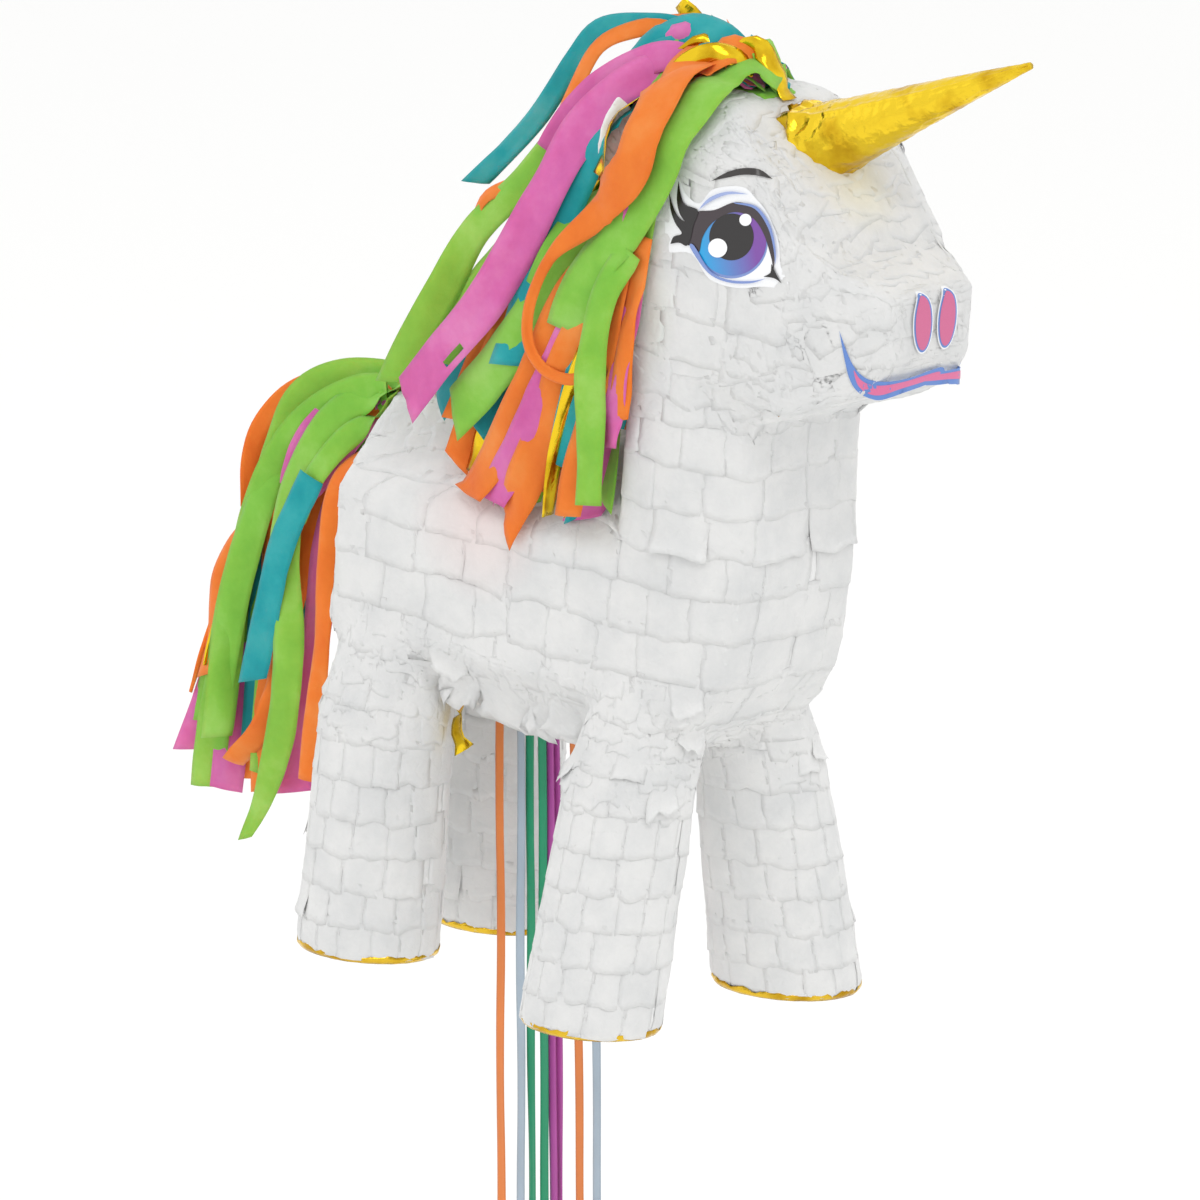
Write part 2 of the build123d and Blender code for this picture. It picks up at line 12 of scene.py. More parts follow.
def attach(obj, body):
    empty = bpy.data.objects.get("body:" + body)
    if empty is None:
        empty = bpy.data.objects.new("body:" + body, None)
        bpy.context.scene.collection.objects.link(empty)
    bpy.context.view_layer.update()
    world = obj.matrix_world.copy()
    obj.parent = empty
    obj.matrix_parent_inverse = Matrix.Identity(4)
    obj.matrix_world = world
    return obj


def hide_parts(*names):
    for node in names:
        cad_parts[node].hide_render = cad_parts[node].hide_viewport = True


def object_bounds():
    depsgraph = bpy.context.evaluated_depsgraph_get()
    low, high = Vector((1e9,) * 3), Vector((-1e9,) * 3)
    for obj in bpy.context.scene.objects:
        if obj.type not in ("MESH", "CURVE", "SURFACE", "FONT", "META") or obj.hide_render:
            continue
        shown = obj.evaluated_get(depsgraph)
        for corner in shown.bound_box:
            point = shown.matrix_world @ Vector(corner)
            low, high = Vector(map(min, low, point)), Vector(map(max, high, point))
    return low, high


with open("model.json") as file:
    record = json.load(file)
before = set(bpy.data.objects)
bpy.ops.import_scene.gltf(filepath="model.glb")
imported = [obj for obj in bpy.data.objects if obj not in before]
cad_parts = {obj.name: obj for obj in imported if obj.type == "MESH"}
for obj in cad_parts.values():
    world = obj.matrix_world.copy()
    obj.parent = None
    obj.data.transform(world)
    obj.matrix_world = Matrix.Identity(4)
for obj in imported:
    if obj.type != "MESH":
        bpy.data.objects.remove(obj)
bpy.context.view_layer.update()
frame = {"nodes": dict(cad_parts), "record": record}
record = frame["record"]
nodes = frame["nodes"]
scene = bpy.context.scene
sideways = Vector((0, 1, 0))

# The standing frame: millimetres, x ahead, y left, z up from the ground under the soles.
mounts = {mount["name"]: mount for mount in record["mounts"]}
soleMount = mounts["front_right_sole"]
skyward = -Vector(soleMount["axis"]).normalized()
ahead = Vector((skyward.z, 0, -skyward.x))
standingSole = (75, -75, 0)
ground = Vector(soleMount["pos_m"]) - (ahead * standingSole[0] + sideways * standingSole[1]) * 0.001


def stand(x, y, z):
    return ground + (ahead * x + sideways * y + skyward * z) * 0.001


def fromStanding(point):
    offset = (point - ground) * 1000
    return Vector((offset.dot(ahead), offset.y, offset.dot(skyward)))


# --- Small helpers for colours, nodes and meshes

def hexColour(text):
    channels = [int(text[i:i + 2], 16) / 255 for i in (1, 3, 5)]
    return tuple(c / 12.92 if c <= 0.04045 else ((c + 0.055) / 1.055) ** 2.4 for c in channels) + (1,)


def addNode(tree, kind, settings=None, links=None):
    # settings: node properties or socket values; links: socket name or number -> output that feeds it
    made = tree.nodes.new(kind)
    for name, value in (settings or {}).items():
        if isinstance(name, str) and hasattr(made, name):
            setattr(made, name, value)
        else:
            made.inputs[name].default_value = value
    for name, output in (links or {}).items():
        tree.links.new(output, made.inputs[name])
    return made


def newMaterial(name, colour, roughness, settings=None):
    # A principled shader with one colour and roughness; the caller adds the pattern nodes
    made = bpy.data.materials.new(name)
    made.use_nodes = True
    tree = made.node_tree
    shader = tree.nodes["Principled BSDF"]
    shader.inputs["Base Color"].default_value = hexColour(colour)
    shader.inputs["Roughness"].default_value = roughness
    for key, value in (settings or {}).items():
        shader.inputs[key].default_value = value
    place = addNode(tree, "ShaderNodeTexCoord").outputs["Object"]
    return made, tree, shader, place


def speckle(tree, shader, pattern, shade, colour, low, high):
    # Base colour that runs from the shade to the colour as the pattern's value goes from low to high
    mix = addNode(tree, "ShaderNodeMix", {"data_type": "RGBA", 6: hexColour(shade), 7: hexColour(colour)})
    spread = addNode(tree, "ShaderNodeMapRange", {"From Min": low, "From Max": high}, {"Value": pattern})
    tree.links.new(spread.outputs["Result"], mix.inputs[0])
    tree.links.new(mix.outputs[2], shader.inputs["Base Color"])
    return mix.outputs[2]


def relief(tree, shader, steps):
    # Bumps laid over each other, coarse first: strength, depth in metres and the height's output
    normal = None
    for strength, depth, height in steps:
        links = {"Height": height, "Normal": normal} if normal else {"Height": height}
        normal = addNode(tree, "ShaderNodeBump", {"Strength": strength, "Distance": depth},
                         links).outputs["Normal"]
    tree.links.new(normal, shader.inputs["Normal"])


def perMm(size):
    # Texture scale whose pattern repeats about every size millimetres
    return 1000 / size


def meshObject(name, points, faces, materials, slots=None):
    mesh = bpy.data.meshes.new(name)
    mesh.from_pydata([tuple(p) for p in points], [], faces)
    for one in materials:
        mesh.materials.append(one)
    if slots is not None:
        mesh.polygons.foreach_set("material_index", slots)
    mesh.polygons.foreach_set("use_smooth", [True] * len(mesh.polygons))
    mesh.update()
    made = bpy.data.objects.new(name, mesh)
    scene.collection.objects.link(made)
    return made


def thicken(piece, thickness, offset=1.0):
    solid = piece.modifiers.new("thickness", "SOLIDIFY")
    solid.thickness = thickness
    solid.offset = offset
    return piece


def applyModifiers(piece):
    graph = bpy.context.evaluated_depsgraph_get()
    mesh = bpy.data.meshes.new_from_object(piece.evaluated_get(graph))
    piece.modifiers.clear()
    piece.data = mesh
    return piece


# --- Camera and pull ribbons come first

cameraPlan = {
    "azimuth": 40,           # degrees, 0 looks along +Y
    "elevation": 10,
    "distance": 18.0,        # metres, far off, so that it is seen nearly square
    "lens": 1080,
    "aim": (-0.02892, 0, -0.09165),
}


def makeCamera():
    a, e = math.radians(cameraPlan["azimuth"]), math.radians(cameraPlan["elevation"])
    back = Vector((math.sin(a) * math.cos(e), -math.cos(a) * math.cos(e), math.sin(e)))
    data = bpy.data.cameras.new("camera")
    data.lens = cameraPlan["lens"]
    camera = bpy.data.objects.new("camera", data)
    scene.collection.objects.link(camera)
    camera.location = Vector(cameraPlan["aim"]) + back * cameraPlan["distance"]
    camera.rotation_mode = "QUATERNION"
    camera.rotation_quaternion = (-back).to_track_quat("-Z", "Y")
    scene.camera = camera


makeCamera()
print("camera placed")

ribbonPlan = {
    "width": 0.005,
    "thickness": 0.0004,
    "across": 4,             # cells across the width
    "turn": 9,               # degrees it wavers about plumb
    "start": 0.002,          # metres under the knot's middle
    "knotHeight": 130,       # mm above the ground, 4 under the belly board
    "cup": 0.0003,           # metres that its middle stands proud of its edges
}
# The knot's place in the standing frame, then the route: sideways and downward metres from its start
ribbonRoutes = {
    "ribbon_orange_rear": ((-54.0, -7.0), [
        (0, 0), (-0.0006, -0.05), (0.0012, -0.112), (-0.0003, -0.18), (0.0014, -0.25),
        (0.0002, -0.318), (0.0016, -0.386), (0.0006, -0.45), (0.0018, -0.51), (0.001, -0.56)]),
    "ribbon_silver_rear": ((-42.0, -5.0), [
        (0, 0), (0.0009, -0.054), (-0.0007, -0.12), (0.0008, -0.186), (-0.0004, -0.252),
        (0.0011, -0.322), (-0.0005, -0.39), (0.0006, -0.452), (-0.0008, -0.508), (0.0002, -0.556)]),
    "ribbon_green_rear": ((-37.5, -3.0), [
        (0, 0), (-0.0005, -0.046), (0.001, -0.104), (0.0002, -0.17), (0.0018, -0.24),
        (0.0008, -0.31), (0.0024, -0.378), (0.0014, -0.444), (0.0028, -0.504), (0.002, -0.556)]),
    "ribbon_green_front": ((-31.5, -1.0), [
        (0, 0), (0.0011, -0.052), (0.0003, -0.114), (0.002, -0.182), (0.0014, -0.248),
        (0.0032, -0.316), (0.0026, -0.382), (0.0042, -0.446), (0.0034, -0.506), (0.0046, -0.56)]),
    "ribbon_magenta_rear": ((-28.0, 1.0), [
        (0, 0), (0.0004, -0.048), (0.0018, -0.108), (0.0012, -0.174), (0.003, -0.242),
        (0.0024, -0.312), (0.0042, -0.38), (0.0034, -0.446), (0.0048, -0.506), (0.004, -0.558)]),
    "ribbon_magenta_front": ((-26.0, 3.0), [
        (0, 0), (0.0016, -0.054), (0.001, -0.118), (0.0028, -0.184), (0.0022, -0.252),
        (0.0038, -0.32), (0.003, -0.386), (0.0044, -0.45), (0.0036, -0.51), (0.0046, -0.56)]),
    "ribbon_orange_front": ((-16.0, 5.0), [
        (0, 0), (0.0022, -0.052), (0.002, -0.116), (0.0044, -0.184), (0.0042, -0.252),
        (0.0064, -0.32), (0.006, -0.388), (0.0078, -0.452), (0.0072, -0.508), (0.0086, -0.556)]),
    "ribbon_silver_front": ((-5.0, 7.0), [
        (0, 0), (0.0018, -0.05), (0.0014, -0.112), (0.0032, -0.18), (0.0028, -0.25),
        (0.0046, -0.32), (0.004, -0.388), (0.0056, -0.452), (0.0048, -0.512), (0.0062, -0.56)]),
}
ribbonColours = {"orange": "#E6823C", "silver": "#A9B9C8", "green": "#149468", "magenta": "#B84FA6"}


def ribbonMaterial(name, colour):
    # Crimped polypropylene ribbon: extruded film, embossed with fine cross ribs, so it has a soft silky gloss
    made, tree, shader, place = newMaterial(name, colour, 0.38,
                                            {"Specular IOR Level": 0.5, "Sheen Weight": 0.2})
    ribs = addNode(tree, "ShaderNodeTexWave", {"bands_direction": "Z", "Scale": perMm(1.6) / 6.28,
                   "Distortion": 1.2, "Detail": 2.0}, {"Vector": place})
    cloud = addNode(tree, "ShaderNodeTexNoise", {"Scale": perMm(40), "Detail": 3.0}, {"Vector": place})
    shade = addNode(tree, "ShaderNodeHueSaturation", {"Color": hexColour(colour)})
    value = addNode(tree, "ShaderNodeMapRange", {"To Min": 0.8, "To Max": 1.15},
                    {"Value": cloud.outputs["Fac"]})
    tree.links.new(value.outputs["Result"], shade.inputs["Value"])
    tree.links.new(shade.outputs["Color"], shader.inputs["Base Color"])
    relief(tree, shader, [(0.25, 0.0002, ribs.outputs["Fac"])])
    return made


ribbonMaterials = {key: ribbonMaterial(key + "PullRibbon", value) for key, value in ribbonColours.items()}


def makeRibbon(name, start, route):
    points = [start + Vector((x, 0, z)) for x, z in route]
    curve = bpy.data.curves.new(name + "_route", "CURVE")
    curve.dimensions = "3D"
    curve.resolution_u = 16
    spline = curve.splines.new("NURBS")
    spline.points.add(len(points) - 1)
    for point, co in zip(spline.points, points):
        point.co = (*co, 1)
    spline.order_u = 3
    spline.use_endpoint_u = True
    guide = bpy.data.objects.new(name + "_route", curve)
    scene.collection.objects.link(guide)
    line = bpy.data.meshes.new_from_object(guide)
    path = [v.co.copy() for v in line.vertices]
    bpy.data.objects.remove(guide)
    seed = start.x * 900
    half, cells, thick = ribbonPlan["width"] / 2, ribbonPlan["across"], ribbonPlan["thickness"] / 2
    points, faces, ring = [], [], 2 * (cells + 1)
    for i, middle in enumerate(path):
        waver = noise.noise(Vector((seed, 0, middle.z * 9))) * 2
        turn = math.radians(ribbonPlan["turn"]) * waver
        across = Vector((math.cos(turn), math.sin(turn), 0))
        facing = Vector((-math.sin(turn), math.cos(turn), 0))
        for side, order in ((1, range(cells + 1)), (-1, range(cells, -1, -1))):
            for j in order:
                t = 2 * j / cells - 1
                cup = ribbonPlan["cup"] * (1 - t * t)
                points.append(middle + across * half * t + facing * (side * thick + cup))
        if i:
            for j in range(ring):
                a, b = (i - 1) * ring + j, (i - 1) * ring + (j + 1) % ring
                faces.append((a, b, b + ring, a + ring))
    last = (len(path) - 1) * ring
    faces.append(tuple(range(ring - 1, -1, -1)))
    faces.append(tuple(last + j for j in range(ring)))
    piece = meshObject(name + "_strip", points, faces, [ribbonMaterials[name.split("_")[1]]])
    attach(piece, name)
    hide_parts(name)
    return piece


for name, ((knotX, knotY), route) in ribbonRoutes.items():
    knot = stand(knotX, knotY, ribbonPlan["knotHeight"])
    makeRibbon(name, knot - Vector((0, 0, ribbonPlan["start"])), route)
print("ribbons hung")

# --- Materials

# Painted reflected light: faint tints that the coloured streamers and the gold horn throw onto the white
# tissue, painted into its colour: place, reach in mm, colour, strength
paintedReflectedTints = [
    ((24, -60, 360), 60, "#C9E8B4", 0.55),
    ((20, 60, 360), 60, "#C9E8B4", 0.45),
    ((-35, -52, 236), 46, "#F6CFCB", 0.45),
    ((-132, -20, 190), 42, "#CFE6C0", 0.5),
    ((150, 0, 440), 30, "#F6EDB0", 0.4),
]


def tissueMaterial(name, colour, shadow, reflectedTints=()):
    # Bleached tissue paper, glued down in fringed strips: matt, slightly see-through, creased and fibrous
    made, tree, shader, place = newMaterial(name, colour, 0.82, {
        "Sheen Weight": 0.15, "Sheen Roughness": 0.6, "Specular IOR Level": 0.25,
        "Subsurface Weight": 0.12, "Subsurface Scale": 0.004})
    shader.inputs["Subsurface Radius"].default_value = (1.0, 1.0, 1.0)
    cloud = addNode(tree, "ShaderNodeTexNoise", {"Scale": perMm(26), "Detail": 5.0, "Roughness": 0.62},
                    {"Vector": place})
    tinted = speckle(tree, shader, cloud.outputs["Fac"], shadow, colour, 0.32, 0.62)
    # Painted reflected light: near each listed place the colour is mixed towards that tint, fading to nothing
    # at its reach
    for at, reach, tint, strength in reflectedTints:
        gap = addNode(tree, "ShaderNodeVectorMath", {"operation": "DISTANCE", 1: tuple(stand(*at))},
                      {0: place})
        near = addNode(tree, "ShaderNodeMapRange", {"From Min": 0.0, "From Max": reach * 0.001,
                       "To Min": strength, "To Max": 0.0}, {"Value": gap.outputs["Value"]})
        step = addNode(tree, "ShaderNodeMix", {"data_type": "RGBA", 7: hexColour(tint)},
                       {0: near.outputs["Result"]})
        tree.links.new(tinted, step.inputs[6])
        tinted = step.outputs[2]
    tree.links.new(tinted, shader.inputs["Base Color"])
    crinkle = addNode(tree, "ShaderNodeTexNoise", {"Scale": perMm(7), "Detail": 8.0, "Roughness": 0.6,
                      "Distortion": 0.8}, {"Vector": place})
    creases = addNode(tree, "ShaderNodeTexVoronoi", {"feature": "DISTANCE_TO_EDGE", "Scale": perMm(9)},
                      {"Vector": place})
    fibres = addNode(tree, "ShaderNodeTexNoise", {"Scale": perMm(1.1), "Detail": 3.0}, {"Vector": place})
    sharp = addNode(tree, "ShaderNodeMapRange", {"From Max": 0.12}, {"Value": creases.outputs["Distance"]})
    relief(tree, shader, [(0.55, 0.0012, crinkle.outputs["Fac"]), (0.25, 0.0004, sharp.outputs["Result"]),
                          (0.2, 0.0001, fibres.outputs["Fac"])])
    return made


def streamerMaterial(name, colour, deep, glow):
    # Dyed tissue streamer: matt, even dye with paler rubbed patches, long creases and light through it
    made, tree, shader, place = newMaterial(name, colour, 0.74, {
        "Sheen Weight": 0.12, "Specular IOR Level": 0.3, "Subsurface Weight": 0.15,
        "Subsurface Scale": 0.003})
    cloud = addNode(tree, "ShaderNodeTexNoise", {"Scale": perMm(38), "Detail": 6.0, "Roughness": 0.6},
                    {"Vector": place})
    ramp = addNode(tree, "ShaderNodeValToRGB", None, {"Fac": cloud.outputs["Fac"]})
    ramp.color_ramp.elements[0].position = 0.22
    ramp.color_ramp.elements[0].color = hexColour(deep)
    ramp.color_ramp.elements[1].position = 0.8
    ramp.color_ramp.elements[1].color = hexColour(glow)
    ramp.color_ramp.elements.new(0.5).color = hexColour(colour)
    tree.links.new(ramp.outputs["Color"], shader.inputs["Base Color"])
    crinkle = addNode(tree, "ShaderNodeTexNoise", {"Scale": perMm(5), "Detail": 8.0, "Roughness": 0.62,
                      "Distortion": 0.6}, {"Vector": place})
    fibres = addNode(tree, "ShaderNodeTexNoise", {"Scale": perMm(1.0), "Detail": 3.0}, {"Vector": place})
    relief(tree, shader, [(0.4, 0.0008, crinkle.outputs["Fac"]), (0.2, 0.0001, fibres.outputs["Fac"])])
    return made


def foilMaterial(name, colour, shade, crumpleMm, depth):
    # Vacuum-metallised plastic film, gold lacquered: mirror bright, broken up by sharp crumples
    made, tree, shader, place = newMaterial(name, colour, 0.2, {"Metallic": 1.0})
    cloud = addNode(tree, "ShaderNodeTexNoise", {"Scale": perMm(22), "Detail": 4.0}, {"Vector": place})
    speckle(tree, shader, cloud.outputs["Fac"], shade, colour, 0.36, 0.56)
    cells = addNode(tree, "ShaderNodeTexVoronoi", {"feature": "F1", "Scale": perMm(crumpleMm)},
                    {"Vector": place})
    ripples = addNode(tree, "ShaderNodeTexNoise", {"Scale": perMm(crumpleMm * 0.6), "Detail": 5.0,
                      "Distortion": 1.0}, {"Vector": place})
    relief(tree, shader, [(0.5, depth, cells.outputs["Distance"]), (0.35, depth, ripples.outputs["Fac"])])
    return made


def boardMaterial(name, colour, shade, fluteMm):
    # Kraft corrugated board: brown paper over flutes, which show as faint ribs, with flecks of bark
    made, tree, shader, place = newMaterial(name, colour, 0.78, {"Specular IOR Level": 0.3})
    ribs = addNode(tree, "ShaderNodeTexWave", {"bands_direction": "X", "Scale": perMm(fluteMm) / 6.28,
                   "Distortion": 0.4}, {"Vector": place})
    flecks = addNode(tree, "ShaderNodeTexNoise", {"Scale": perMm(1.4), "Detail": 6.0}, {"Vector": place})
    speckle(tree, shader, flecks.outputs["Fac"], shade, colour, 0.3, 0.6)
    relief(tree, shader, [(0.3, 0.0003, ribs.outputs["Fac"]), (0.2, 0.0001, flecks.outputs["Fac"])])
    return made


def inkMaterial(name, colour, second=None, fromPoint=None, toPoint=None):
    # Gloss-coated sticker paper with offset ink; a second colour makes the printed blend
    made, tree, shader, place = newMaterial(name, colour, 0.3, {"Coat Weight": 0.3, "Coat Roughness": 0.15})
    grain = addNode(tree, "ShaderNodeTexNoise", {"Scale": perMm(0.8), "Detail": 2.0}, {"Vector": place})
    ink = addNode(tree, "ShaderNodeHueSaturation", {"Color": hexColour(colour)})
    value = addNode(tree, "ShaderNodeMapRange", {"To Min": 0.94, "To Max": 1.06},
                    {"Value": grain.outputs["Fac"]})
    tree.links.new(value.outputs["Result"], ink.inputs["Value"])
    if second:
        run = toPoint - fromPoint
        shifted = addNode(tree, "ShaderNodeVectorMath", {"operation": "SUBTRACT", 1: tuple(fromPoint)},
                          {0: place})
        along = addNode(tree, "ShaderNodeVectorMath", {"operation": "DOT_PRODUCT",
                        1: tuple(run / run.length_squared)}, {0: shifted.outputs[0]})
        mix = addNode(tree, "ShaderNodeMix",
                      {"data_type": "RGBA", 6: hexColour(colour), 7: hexColour(second)},
                      {0: along.outputs["Value"]})
        tree.links.new(mix.outputs[2], ink.inputs["Color"])
    tree.links.new(ink.outputs["Color"], shader.inputs["Base Color"])
    relief(tree, shader, [(0.1, 0.0001, grain.outputs["Fac"])])
    return made


def wireMaterial(name):
    # Galvanised steel wire, drawn: dull zinc grey with fine lengthwise scratches
    made, tree, shader, place = newMaterial(name, "#A9ADB0", 0.42, {"Metallic": 1.0})
    stain = addNode(tree, "ShaderNodeTexNoise", {"Scale": perMm(2), "Detail": 6.0}, {"Vector": place})
    value = addNode(tree, "ShaderNodeMapRange", {"To Min": 0.3, "To Max": 0.55},
                    {"Value": stain.outputs["Fac"]})
    tree.links.new(value.outputs["Result"], shader.inputs["Roughness"])
    relief(tree, shader, [(0.2, 0.0001, stain.outputs["Fac"])])
    return made


whiteTissue = tissueMaterial("bleachedTissue", "#EBEBEA", "#DFE0E0", paintedReflectedTints)
pinkTissue = tissueMaterial("earLiningTissue", "#EFE3E3", "#E2D3D5")
whiteLinedBoard = boardMaterial("whiteLinedBoard", "#E4E1DA", "#D3CEC4", 5.0)
kraftBoard = boardMaterial("kraftCorrugatedBoard", "#B58F63", "#94734C", 5.0)
tubeBoard = boardMaterial("spiralPaperTube", "#AE9069", "#8E7250", 9.0)
paperTape = boardMaterial("gummedPaperTape", "#C9A878", "#B18E60", 14.0)
zincWire = wireMaterial("galvanisedWire")
hornFoil = foilMaterial("goldHornFoil", "#F3CF33", "#C79A1C", 9.0, 0.0012)
stripFoil = foilMaterial("goldStreamerFoil", "#F0CB2C", "#B98C14", 14.0, 0.0006)
soleFoil = foilMaterial("goldSoleFoil", "#E6BE3A", "#B88D1E", 4.0, 0.0006)
streamerMaterials = {
    "green": streamerMaterial("greenTissueStreamer", "#82C143", "#69AE33", "#A3D36A"),
    "teal": streamerMaterial("tealTissueStreamer", "#129AA1", "#0B7F8B", "#3FB3B4"),
    "pink": streamerMaterial("pinkTissueStreamer", "#D967A9", "#C64F96", "#E88BBF"),
    "orange": streamerMaterial("orangeTissueStreamer", "#F27C28", "#E5691B", "#F8994F"),
    "gold": stripFoil,
}
print("materials made")

# --- The form: every board and tube closed into one outer surface that the tissue is glued to

formPlan = {
    "voxel": 0.0028,
    "smoothing": 6,
    "lump": 0.7,             # mm, slow waves of the glued paper
    "lumpLength": 24,
    "crumple": 0.45,         # mm, short creases
    "crumpleLength": 7,
    "sheet": 0.9,            # mm of paper over the boards everywhere
    "calmFade": 12,          # mm over which the tissue round a sticker goes from flat to creased
}
formNodes = [name for name in nodes if name.endswith(("_board", "_leg", "_tissue", "_tissues"))]
formNodes += ["trap_door", "fill_flap", "sole_discs"]


def remeshed(piece, voxel, rounds, whole=True):
    # A closed surface of even cells, smoothed a little; whole keeps only its largest part
    remesh = piece.modifiers.new("voxels", "REMESH")
    remesh.mode = "VOXEL"
    remesh.voxel_size = voxel
    applyModifiers(piece)
    if whole:
        largestPart(piece)
    smooth = piece.modifiers.new("soften", "SMOOTH")
    smooth.iterations = rounds
    return applyModifiers(piece)


def joinedNodes(names):
    points, faces = [], []
    for name in names:
        world, mesh, start = nodes[name].matrix_world, nodes[name].data, len(points)
        points += [world @ v.co for v in mesh.vertices]
        faces += [tuple(start + i for i in face.vertices) for face in mesh.polygons]
    return points, faces


def largestPart(piece):
    bm = bmesh.new()
    bm.from_mesh(piece.data)
    left, best = set(bm.faces), []
    while left:
        seed = left.pop()
        part, edge = [seed], [seed]
        while edge:
            for side in edge.pop().edges:
                for face in side.link_faces:
                    if face in left:
                        left.remove(face)
                        part.append(face)
                        edge.append(face)
        best = max(best, part, key=len)
    keep = set(best)
    bmesh.ops.delete(bm, geom=[f for f in bm.faces if f not in keep], context="FACES")
    bm.to_mesh(piece.data)
    bm.free()


def makeForm():
    points, faces = joinedNodes(formNodes)
    form = meshObject("white_tissue_skin", points, faces, [whiteTissue])
    return remeshed(form, formPlan["voxel"], formPlan["smoothing"])


skin = makeForm()
skinTree = BVHTree.FromObject(skin, bpy.context.evaluated_depsgraph_get())
print("form closed,", len(skin.data.polygons), "faces")


def stickerCalm(place):
    # 0 at a sticker, where the tissue was rubbed flat, and 1 away from them
    least = 1.0
    for (x, y, z), reach in calmPlaces:
        gap = (Vector((place.x - x, abs(place.y) - y, place.z - z))).length
        least = min(least, max(0.0, min(1.0, (gap - reach) / formPlan["calmFade"])))
    return least


# Places and reach in mm of the flat tissue; the left side has the same ones
calmPlaces = [((112, 56, 406), 32), ((100, 57, 428), 22), ((118, 53, 442), 26), ((197, 10, 376), 16),
              ((180, 8, 338), 20), ((172, 32, 346), 18), ((166, 42, 362), 12)]


def crumpleSkin(piece):
    mesh = piece.data
    normals = [v.normal.copy() for v in mesh.vertices]
    for vertex, normal in zip(mesh.vertices, normals):
        place = fromStanding(vertex.co)
        calm = stickerCalm(place)
        lump = noise.noise(place / formPlan["lumpLength"]) * formPlan["lump"]
        ridge = 1 - abs(noise.noise(place / formPlan["crumpleLength"] + Vector((40, 0, 0)))) * 4
        rise = formPlan["sheet"] + calm * (lump + max(ridge * formPlan["crumple"], 0))
        vertex.co += normal * rise * 0.001
    mesh.update()


formTree = skinTree
crumpleSkin(skin)
skinTree = BVHTree.FromObject(skin, bpy.context.evaluated_depsgraph_get())
print("skin crumpled")

# --- Fringed tissue: rows of glued tabs, each lifting at its free lower edge

tabPlan = {
    "layer": 0.25,           # mm over the skin where it is glued
    "lift": 0.3,             # mm at the free edge
    "loose": 2.2,            # mm at the free edge of the few that came unstuck
    "looseShare": 0.05,
    "wrinkle": 0.34,
    "layerSpread": 0.06,     # mm between one tab and the next
    "least": 0.15,           # mm, so that no tab sinks into the skin
    "paper": 0.00008,        # metres, drawn a few sheets thick
}
rowPlan = {
    "body": {"tops": (273, 250, 227, 204, 181, 158), "height": 28, "width": 30, "centre": (-5, 0)},
    "neck": {"tops": (334, 312, 290, 268), "height": 26, "width": 30, "centre": (80, 0)},
    "cheek": {"tops": (455, 433, 411, 389, 367, 345), "height": 26, "width": 32, "centre": (84, 0)},
    "leg": {"tops": (150, 131, 112, 93, 75, 57, 39, 21), "height": 23, "width": 17},
}
legAxes = {                  # foot, knee and hip of each leg in the standing frame
    "front_right": ((75, -75, 0), (69, -50, 118), (66, -30, 172)),
    "front_left": ((77, 77, 0), (70, 50, 118), (66, 30, 172)),
    "rear_right": ((-92, -50, 0), (-97, -43, 118), (-97, -30, 172)),
    "rear_left": ((-92, 51, 0), (-97, 43, 118), (-97, 30, 172)),
}
doorZone = (-64, 20, 24)     # rear, front and half width of the trap door
doorOpening = (-64, 24, 24)  # the skin stays clear of the tape that the door turns about
openHeights = {"door": 137, "fill": 270, "sole": 1.6}    # under, over and under which the skin is cut away
fillZone = (-95, -37, 13)
random.seed(11)


def inZone(place, zone, margin=0.0):
    return zone[0] - margin < place.x < zone[1] + margin and abs(place.y) < zone[2] + margin


def addTab(store, place, columns, rows, rag=0.08, lift=None, layer=None):
    # place(a, b) gives the skin's point and normal, a across from 0 to 1 and b down from 0 to 1
    points, faces = store
    seed = random.random() * 100
    loose = random.random() < tabPlan["looseShare"]
    if lift is None:
        lift = (tabPlan["loose"] if loose else tabPlan["lift"]) * random.uniform(0.5, 1.3)
    if layer is None:
        layer = tabPlan["layer"] + random.random() * tabPlan["layerSpread"]
    curl, tilt = random.uniform(-0.3, 0.3), random.uniform(-0.3, 0.3)
    start, made = len(points), []
    for j in range(rows + 1):
        for i in range(columns + 1):
            a, b = i / columns, j / rows
            ragged = 1 + rag * noise.noise(Vector((a * 3.1, seed, 0))) * b
            side = (a - 0.5) * (1 + rag * noise.noise(Vector((seed, b * 2.7, 3))) - 0.04 * b) + 0.5
            hit = place(side, b * ragged)
            if hit is None:
                return False
            at, normal = hit
            calm = stickerCalm(fromStanding(at))
            free = b * b * b
            hug = 1 if lift > 2 else 1 - 0.9 * abs(2 * a - 1) ** 4      # its sides stay down
            rise = layer + calm * free * (lift * (1 + tilt * (2 * a - 1)) * hug + curl * (2 * a - 1) ** 2)
            ripple = noise.noise(Vector((a * 4.5, b * 1.6, seed))) + 0.5 * noise.noise(Vector((a * 9, b * 7,
                                                                                               seed)))
            rise += calm * tabPlan["wrinkle"] * (0.35 + 0.65 * b) * (ripple + 0.3) * hug
            made.append(at + normal * max(rise, tabPlan["least"]) * 0.001)
    points.extend(made)
    ring = columns + 1
    for j in range(rows):
        for i in range(columns):
            a = start + j * ring + i
            faces.append((a, a + ring, a + ring + 1, a + 1))
    return True


